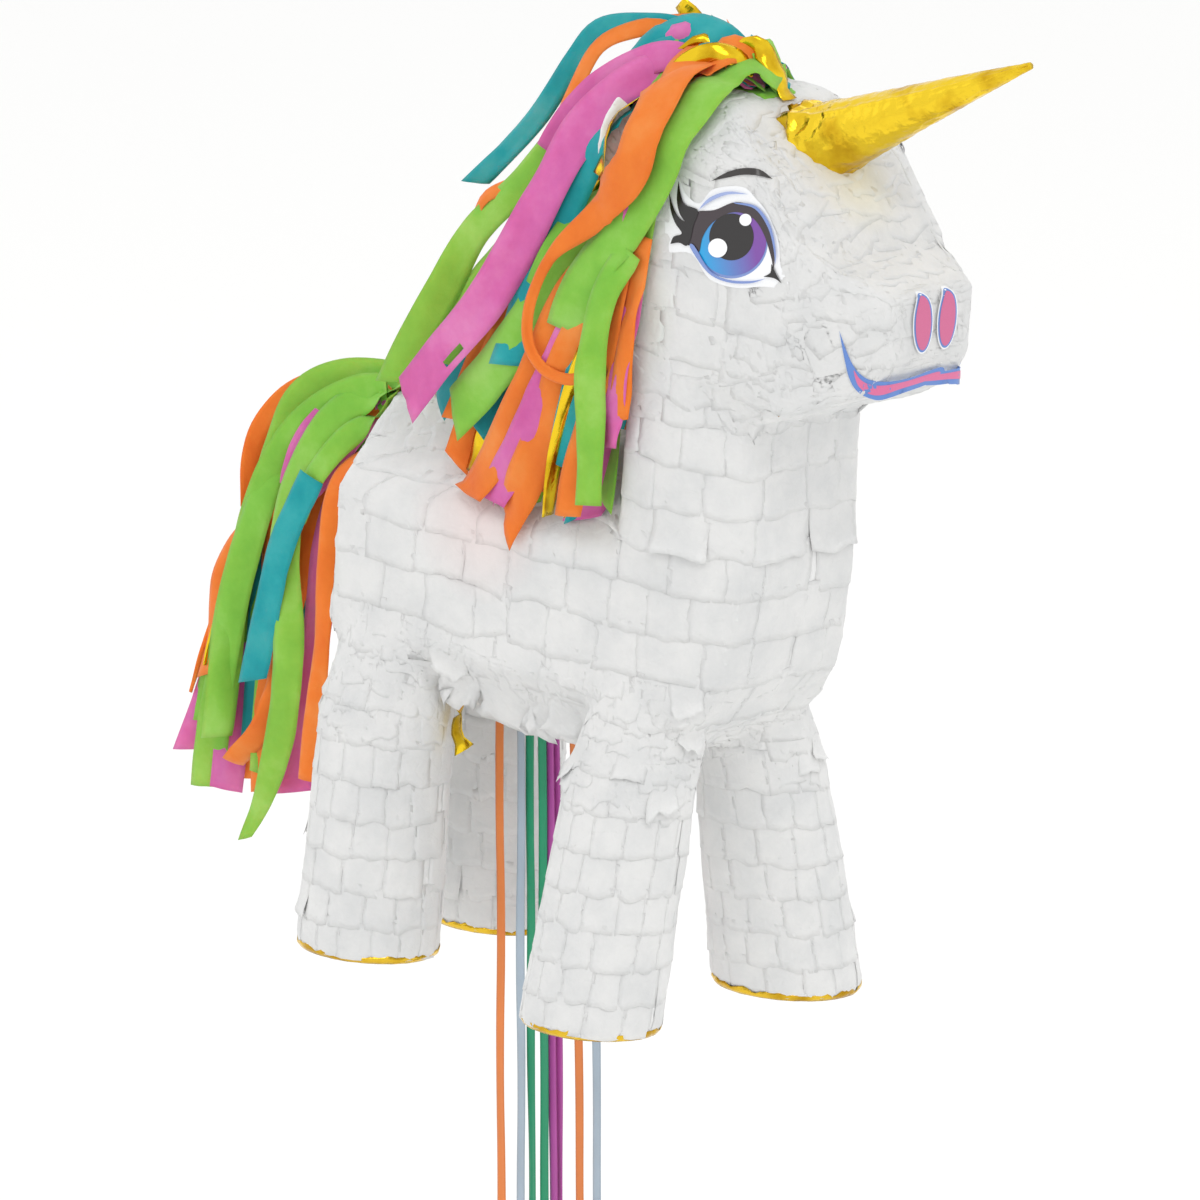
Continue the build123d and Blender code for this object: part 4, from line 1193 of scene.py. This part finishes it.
# Outlines in mm about the iris, a doubled point is a sharp tip
stickerPaper = [(-33, 25), (-27, 33), (-23, 24), (-16, 19), (-9, 26), (5, 27), (12, 21), (18, 13), (23, 0),
                (24, -12), (27.5, -22.5), (14, -22.5), (2, -23), (-11, -18.5), (-20, -6), (-32, -4.5),
                (-33, 6)]
eyeWhite = [(-19.4, -0.7), (-11.4, -14.5), (-2, -19), (8.7, -19.8), (17.4, -18), (20, -15), (19.4, -6),
            (17.4, 3.3),
            (14, 10), (10, 15), (3.3, 18), (-3.3, 18), (-10, 16.7), (-16.7, 14), (-20, 8)]
lidShade = [(-22, -1), (-20.5, 8), (-17.4, 14.6), (-8.7, 15.6), (2, 19.4), (11.4, 16.2), (18, 7), (20.8, -6),
            (20.6, -14), (20.6, -14), (19.2, -7.4), (15.8, 3.3), (10.6, 11.2), (3, 14.4), (-4, 13),
            (-10.5, 8.4),
            (-14.5, 2), (-16.2, -5), (-19, -1.8)]
lashes = [(-22.5, -2), (-26.1, -0.4), (-30.4, -1.0), (-30.4, -1.0), (-28.8, 2.6), (-24.8, 4.2), (-28.1, 9.5),
          (-30.4, 16.5), (-31.1, 25.2), (-31.1, 25.2), (-29.3, 18.2), (-26.6, 12.6), (-23.4, 10.2),
          (-25.8, 14),
          (-27.2, 21), (-26.4, 30.3), (-26.4, 30.3), (-25.2, 23.4), (-23.0, 18.4), (-16.8, 15.3), (-19.0, 8),
          (-20.6, 1)]
cornerFlick = [(19.6, -11.5), (21.6, -15.8), (24.6, -21.0), (24.6, -21.0), (20.8, -18.4), (15.5, -17.6),
               (15.5, -17.6), (19.0, -15.6)]
lowerLine = [(-20.5, -3), (-12, -15.2), (-2.4, -20.1), (8.7, -20.8), (16.5, -18.6), (16.5, -18.6),
             (8.7, -19.7),
             (-2, -18.9), (-11.0, -14.2), (-18.6, -2)]
sideLine = [(2, 19.2), (12, 17.2), (18.8, 8), (21.6, -4), (21.4, -12), (21.4, -12), (20.6, -4), (17.8, 6.6),
            (11.4, 15.9), (2, 18.6)]
creaseArc = [(-16.6, 15.6), (-16.6, 15.6), (-11.2, 21.6), (-2, 24.6), (8.2, 23.2), (8.2, 23.2), (-2, 23.2),
             (-10.4, 20.0)]
browShape = [(-10.2, 30.0), (-10.2, 30.0), (-2, 34.4), (6, 36.2), (14, 35.4), (20.2, 30.8), (20.2, 30.8),
             (12, 32.6), (4.7, 32.8), (-2, 31.6)]
mouthPlan = {
    "centre": (191, -20, 345),
    "raise": 2.0,
    "lap": 0.1,              # mm between the two halves where they cross
    "nose": 197,             # how far forward the muzzle's front is, and its half width
    "noseHalf": 29,
    "cheek": 0.574,          # mm that a cheek widens for each mm back from the nose
    "sag": 3.0,              # mm that the lower lip swings in under the nose
}
mouthBlue = [(-25.6, 26.8), (-25.6, 26.8), (-23.4, 14.7), (-20.6, 3.2), (-16.4, -3.4), (-10, -6.8),
             (-4, -7.3),
             (6.7, -3.7), (18.0, 0.4), (26, 4), (26, 9), (18.7, 7.0), (10.7, 4.0), (0, 1.7), (-9.4, 2.2),
             (-14.7, 4.9), (-18.7, 9.6), (-22.1, 17.0)]
mouthPink = [(-18.4, 7.2), (-16.4, 0.0), (-11.4, -4.2), (-4.6, -5.0), (5.4, -1.7), (17, 2.0), (24, 5.2),
             (24, 6.8),
             (16.8, 4.8), (8.0, 2.0), (-2.6, -0.2), (-10.6, 0.2), (-15.4, 3.0)]


def closedCurve(outline, parts=5):
    made, count = [], len(outline)
    for i in range(count):
        a, b, c, d = (Vector(outline[(i + k) % count]) for k in (-1, 0, 1, 2))
        if (c - b).length < 1e-6:
            continue
        a, d = (b if (a - b).length < 1e-6 else a), (c if (d - c).length < 1e-6 else d)
        for k in range(parts):
            t = k / parts
            made.append(0.5 * (2 * b + (c - a) * t + (2 * a - 5 * b + 4 * c - d) * t * t
                               + (3 * b - a - 3 * c + d) * t ** 3))
    return made


def disc(x, y, radiusX, radiusY=None, lean=0.0, count=48):
    radiusY = radiusY or radiusX
    made = []
    for k in range(count):
        a = 2 * math.pi * k / count
        u, v = radiusX * math.cos(a), radiusY * math.sin(a)
        made.append(Vector((x + u * math.cos(lean) - v * math.sin(lean),
                            y + u * math.sin(lean) + v * math.cos(lean))))
    return made


def cutShape(outline, spacing=2.2):
    # Triangles of a flat shape, with inner points so that it can follow a curved surface
    lowX, highX = min(p.x for p in outline), max(p.x for p in outline)
    lowY, highY = min(p.y for p in outline), max(p.y for p in outline)
    inner = []
    y = lowY + spacing / 2
    while y < highY:
        x = lowX + spacing / 2
        while x < highX:
            if all((Vector((x, y)) - p).length > spacing * 0.45 for p in outline):
                inner.append(Vector((x, y)))
            x += spacing
        y += spacing
    loop = list(range(len(outline)))
    result = geometry.delaunay_2d_cdt(outline + inner, [], [loop], 1, 1e-5)
    return result[0], result[2]


def printSticker(name, shapes, centre, right, upward, facing, raised, mirrored=False, halved=False,
                 wall=None):
    # shapes: (outline, material) from the bottom layer up; every layer is pressed onto the form along facing
    # wall: gives how far along facing the sheet stays where the form falls away under it
    points, faces, slots, materials = [], [], [], []
    flip = -1 if mirrored else 1
    middle = stand(*centre)
    for level, (outline, ink) in enumerate(shapes):
        flat, triangles = cutShape(outline)
        start = len(points)
        if ink not in materials:
            materials.append(ink)
        for p in flat:
            guess = middle + (right * p.x + upward * p.y) * 0.001
            begin = guess + facing * eyePlan["reach"]
            hit = formTree.ray_cast(begin, -facing)[0] or guess
            if wall:
                hit = guess + facing * max((hit - guess).dot(facing), wall(guess, facing))
            place = hit + facing * (raised + level * eyePlan["layer"]) * 0.001
            if halved and place.y > 0:
                place.y = 0
            points.append(Vector((place.x, place.y * flip, place.z)))
        for triangle in triangles:
            corners = [start + i for i in triangle]
            if halved and all(abs(points[i].y) < 1e-9 for i in corners):
                continue
            a, b, c = (points[i] for i in corners[:3])
            out = Vector((facing.x, facing.y * flip, facing.z))
            if (b - a).cross(c - a).dot(out) < 0:
                corners.reverse()
            faces.append(tuple(corners))
            slots.append(materials.index(ink))
    return meshObject(name, points, faces, materials, slots)


paperWhite = inkMaterial("stickerPaper", "#F5F6F8")
lashInk = inkMaterial("blackInk", "#1B1718")
lidInk = inkMaterial("taupeInk", "#3A2F35")
lineInk = inkMaterial("periwinkleInk", "#7C93CF")
creaseInk = inkMaterial("paleBlueInk", "#9DAEDD")
whiteInk = inkMaterial("highlightWhite", "#FAFBFD")
browInk = inkMaterial("browInk", "#2E2A29")
mouthInk = inkMaterial("mouthPinkInk", "#DB6C9A")
mouthLine = inkMaterial("mouthBlueInk", "#5F86CC")
nostrilInk = inkMaterial("nostrilPinkInk", "#CF6390")


def irisInk(name, side):
    middle = stand(eyePlan["centre"][0], side * 57, eyePlan["centre"][2])
    run = (ahead + skyward * 0.35).normalized() * 0.019
    return inkMaterial(name, "#18A4E2", "#7C47A4", middle - run, middle + run * 0.8)


def makeEye(side):
    name = "right" if side < 0 else "left"
    iris = [p for p in disc(0, 0, eyePlan["iris"])]
    shapes = [
        (closedCurve(stickerPaper), paperWhite),
        (closedCurve(eyeWhite), whiteInk),
        (disc(0, -0.6, eyePlan["iris"] + 0.7), lineInk),
        (iris, irisInk(name + "IrisInk", side)),
        (disc(-0.2, 2.2, eyePlan["pupil"], eyePlan["pupil"] + 0.6), lashInk),
        (closedCurve(lidShade), lidInk),
        (disc(6.7, 10.6, 3.0), whiteInk),
        (disc(-7.0, -3.2, 4.7), whiteInk),
        (closedCurve(lashes), lashInk),
        (closedCurve(cornerFlick), lashInk),
        (closedCurve(lowerLine), lineInk),
        (closedCurve(sideLine), lineInk),
        (closedCurve(creaseArc), creaseInk),
    ]
    eye = printSticker(name + "_eye_print", shapes, eyePlan["centre"], printRight, printUp, printFacing,
                       eyePlan["raise"], side > 0)
    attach(eye, "shell")
    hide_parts(name + "_eye_sticker")
    brow = printSticker(name + "_brow_print", [(closedCurve(browShape), browInk)], eyePlan["centre"],
                        printRight,
                        printUp, printFacing, eyePlan["raise"] + 0.5, side > 0)
    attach(brow, "shell")
    return brow


def makeNostril(side):
    name = "right" if side < 0 else "left"
    flat = (disc(0, 0, 7.9, 15.6, 0.05), paperWhite), (disc(0, 0, 7.1, 14.8, 0.05), mouthLine), \
        (disc(0, 0, 6.0, 13.7, 0.05), nostrilInk)
    nostril = printSticker(name + "_nostril_print", flat, (197, -9.4, 377), sideways, skyward, frontFacing,
                           2.6,
                           side > 0)
    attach(nostril, "shell")
    return nostril


def lipWall(guess, facing):
    # The mouth hangs from the lip nearly straight down, round the plan of the muzzle, clear of the chin
    place, way = fromStanding(guess), Vector((facing.dot(ahead), facing.y, facing.dot(skyward)))
    back, cheek = mouthPlan["nose"] - place.x, mouthPlan["cheek"]
    toFront = back / way.x
    toSide = (-place.y - mouthPlan["noseHalf"] - cheek * back) / (way.y - cheek * way.x)
    return (min(toFront, toSide) - mouthPlan["sag"]) * 0.001


def makeMouth():
    made, raised = [], mouthPlan["raise"]
    for name, left in (("right", False), ("left", True)):
        shapes = [(closedCurve(mouthBlue), mouthLine), (closedCurve(mouthPink), mouthInk)]
        made.append(printSticker("mouth_print_" + name, shapes, mouthPlan["centre"], printRight, printUp,
                                 printFacing,
                                 raised - (mouthPlan["lap"] if left else 0), left, left, lipWall))
    for half in made:
        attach(half, "shell")
    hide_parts("mouth_sticker")


brows = [makeEye(side) for side in (-1, 1)]
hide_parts("brow_stickers")
nostrils = [makeNostril(side) for side in (-1, 1)]
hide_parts("nostril_stickers")
makeMouth()
print("stickers pressed on")

# --- Small papered parts: the CAD's own shape, remeshed finely and creased

def papered(name, sources, material, voxel, rise, grain):
    points, faces = joinedNodes(sources)
    piece = meshObject(name, points, faces, [material])
    remeshed(piece, voxel, 3, whole=False)
    normals = [v.normal.copy() for v in piece.data.vertices]
    for vertex, normal in zip(piece.data.vertices, normals):
        crease = 1 - 3 * abs(noise.noise(vertex.co * (1000 / grain)))
        vertex.co += normal * (rise * crease + 0.1) * 0.001
    piece.data.polygons.foreach_set("use_smooth", [True] * len(piece.data.polygons))
    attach(piece, "shell")
    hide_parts(*sources)


papered("right_ear_papered", ["right_ear"], whiteTissue, 0.0009, 0.35, 8)
papered("left_ear_papered", ["left_ear"], whiteTissue, 0.0009, 0.35, 8)
papered("ear_linings_papered", ["ear_linings"], pinkTissue, 0.0007, 0.25, 6)
papered("mane_glue_band", ["mane_band"], streamerMaterials["green"], 0.0012, 0.6, 7)
papered("tail_tie_wrap", ["tail_tie"], streamerMaterials["green"], 0.0014, 1.2, 7)

solePlan = {
    "rim": 3.4,              # mm that the foil is turned up
    "rings": 7,
    "around": 96,
    "level": 4.5,            # mm above the ground where the leg's outline is taken
    "out": 1.3,              # mm that the rim stands off the leg
    "foil": 0.00015,
}


def makeSole(name):
    # Foil pressed over the card disc, its rim turned up the leg under the last row of tissue
    foot, level = Vector(legAxes[name][0]), solePlan["level"]
    around, points, faces, edge = solePlan["around"], [], [], []
    for j in range(around):
        angle = 2 * math.pi * j / around
        way = ahead * math.cos(angle) + sideways * math.sin(angle)
        hit = formTree.ray_cast(stand(foot.x, foot.y, level), way, 0.06)[0]
        edge.append(fromStanding(hit) - Vector((0, 0, level)))
    for i in range(solePlan["rings"] + 1):
        t = min(1.0, (i + 0.02) / (solePlan["rings"] - 2))
        for j in range(around):
            p = foot.lerp(edge[j], t)
            wave = 0.7 * noise.noise(p / 4) * (1 - 0.6 * t)
            high = -0.15 + wave * 0.5
            if i > solePlan["rings"] - 2:
                climb = i - (solePlan["rings"] - 2)
                ragged = 1 + 0.7 * noise.noise(Vector((j * 0.35, foot.x, climb)))
                out = (edge[j] - foot).normalized()
                p = edge[j] + out * solePlan["out"]
                high = climb * solePlan["rim"] / 2 * ragged
            points.append(stand(p.x, p.y, max(high, -0.5)))
            if i:
                a, b = (i - 1) * around + j, (i - 1) * around + (j + 1) % around
                faces.append((a, a + around, b + around, b))
    faces.append(tuple(range(around)))
    sole = meshObject(name + "_sole_foil", points, faces, [soleFoil])
    thicken(sole, solePlan["foil"], 0.0)
    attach(sole, "shell")
    return sole


soles = [makeSole(name) for name in legAxes]
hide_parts("sole_discs")


knotPlan = {
    "size": 0.00052,         # metres, the loop's scale
    "samples": 48,
    "halfWidth": 0.0006,     # the ribbon squeezed into a cord
    "halfThick": 0.00035,
}


def makeKnots():
    # Each ribbon is tied in an overhand knot under the door; two strands run up through it
    points, faces, slots = [], [], []
    tones = list(ribbonMaterials.values())
    samples, strands = knotPlan["samples"], [Vector((0.0004, 0, 0)), Vector((-0.0005, 0.0003, 0))]
    for name, ((x, y), _) in ribbonRoutes.items():
        tone = tones.index(ribbonMaterials[name.split("_")[1]])
        middle = stand(x, y, ribbonPlan["knotHeight"])
        loop = []
        for k in range(samples):
            a = 2 * math.pi * k / samples
            loop.append(Vector((math.sin(a) + 2 * math.sin(2 * a), math.sin(3 * a) * 0.9,
                                math.cos(a) - 2 * math.cos(2 * a))) * knotPlan["size"])
        uprights = [[foot + Vector((0, 0, 0.0001 * k)) for k in range(0, 36, 5)] for foot in strands]
        for strand, closed in [(loop, True)] + [(line, False) for line in uprights]:
            start, ring, count = len(points), 8, len(strand)
            for k, p in enumerate(strand):
                after, before = strand[(k + 1) % count], strand[k - 1]
                tangent = (after - before if closed or 0 < k < count - 1 else Vector((0, 0, 1))).normalized()
                u = tangent.cross(Vector((0.3, 1, 0.1))).normalized()
                v = tangent.cross(u)
                for j in range(ring):
                    b = 2 * math.pi * j / ring
                    points.append(middle + p + u * math.cos(b) * knotPlan["halfWidth"]
                                  + v * math.sin(b) * knotPlan["halfThick"])
            for k in range(count if closed else count - 1):
                for j in range(ring):
                    a, b = start + k * ring, start + ((k + 1) % count) * ring
                    faces.append((a + j, a + (j + 1) % ring, b + (j + 1) % ring, b + j))
                    slots.append(tone)
    knots = meshObject("ribbon_knots_tied", points, faces, tones, slots)
    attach(knots, "trap_door")
    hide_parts("ribbon_knots")


makeKnots()


def dress(name, finish):
    mesh = nodes[name].data
    for slot in range(max(1, len(mesh.materials))):
        if slot < len(mesh.materials):
            mesh.materials[slot] = finish
        else:
            mesh.materials.append(finish)


for name in nodes:
    if name.endswith("_board") or name in ("trap_door", "fill_flap", "hanger_plate", "horn_core"):
        dress(name, whiteLinedBoard if name in ("back_board", "fill_flap", "trap_door") else kraftBoard)
    elif name.endswith("_leg"):
        dress(name, tubeBoard)
    elif name in ("trap_tape_fixed", "trap_tape_moving", "fill_tape"):
        dress(name, paperTape)
    elif name == "hanging_eye":
        dress(name, zincWire)
print("boards, soles, knots and wire dressed")

# --- Floor and light

stagePlan = {"below": 0.03, "size": 160, "sky": 1.0}    # metres, metres and strength
lampPlan = {                 # place, size in metres, watts
    "keyLamp": ((2.6, -2.4, 3.8), 2.0, 34),
    "fillLamp": ((-3.4, -2.0, 1.4), 2.8, 4),
    "backLamp": ((-1.4, 3.2, 2.6), 2.4, 10),
}


def makeStage():
    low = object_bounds()[0]
    made, tree, shader, place = newMaterial("paintedFloor", "#FBFBFA", 0.8)
    grain = addNode(tree, "ShaderNodeTexNoise", {"Scale": perMm(60), "Detail": 3.0}, {"Vector": place})
    relief(tree, shader, [(0.04, 0.0004, grain.outputs["Fac"])])
    half, z = stagePlan["size"] / 2, low.z - stagePlan["below"]
    floor = meshObject("floor", [(-half, -half, z), (half, -half, z), (half, half, z), (-half, half, z)],
                       [(0, 1, 2, 3)], [made])
    world = bpy.data.worlds.new("studio")
    world.use_nodes = True
    scene.world = world
    sky = world.node_tree.nodes["Background"]
    sky.inputs["Color"].default_value = (1, 1, 1, 1)
    sky.inputs["Strength"].default_value = stagePlan["sky"]
    for name, (at, size, power) in lampPlan.items():
        data = bpy.data.lights.new(name, "AREA")
        data.energy, data.size, data.shape = power, size, "DISK"
        lamp = bpy.data.objects.new(name, data)
        scene.collection.objects.link(lamp)
        lamp.location = at
        lamp.rotation_mode = "QUATERNION"
        lamp.rotation_quaternion = (Vector(at) - Vector(cameraPlan["aim"])).to_track_quat("Z", "Y")
    scene.view_settings.view_transform = "Standard"


makeStage()
print("stage lit")
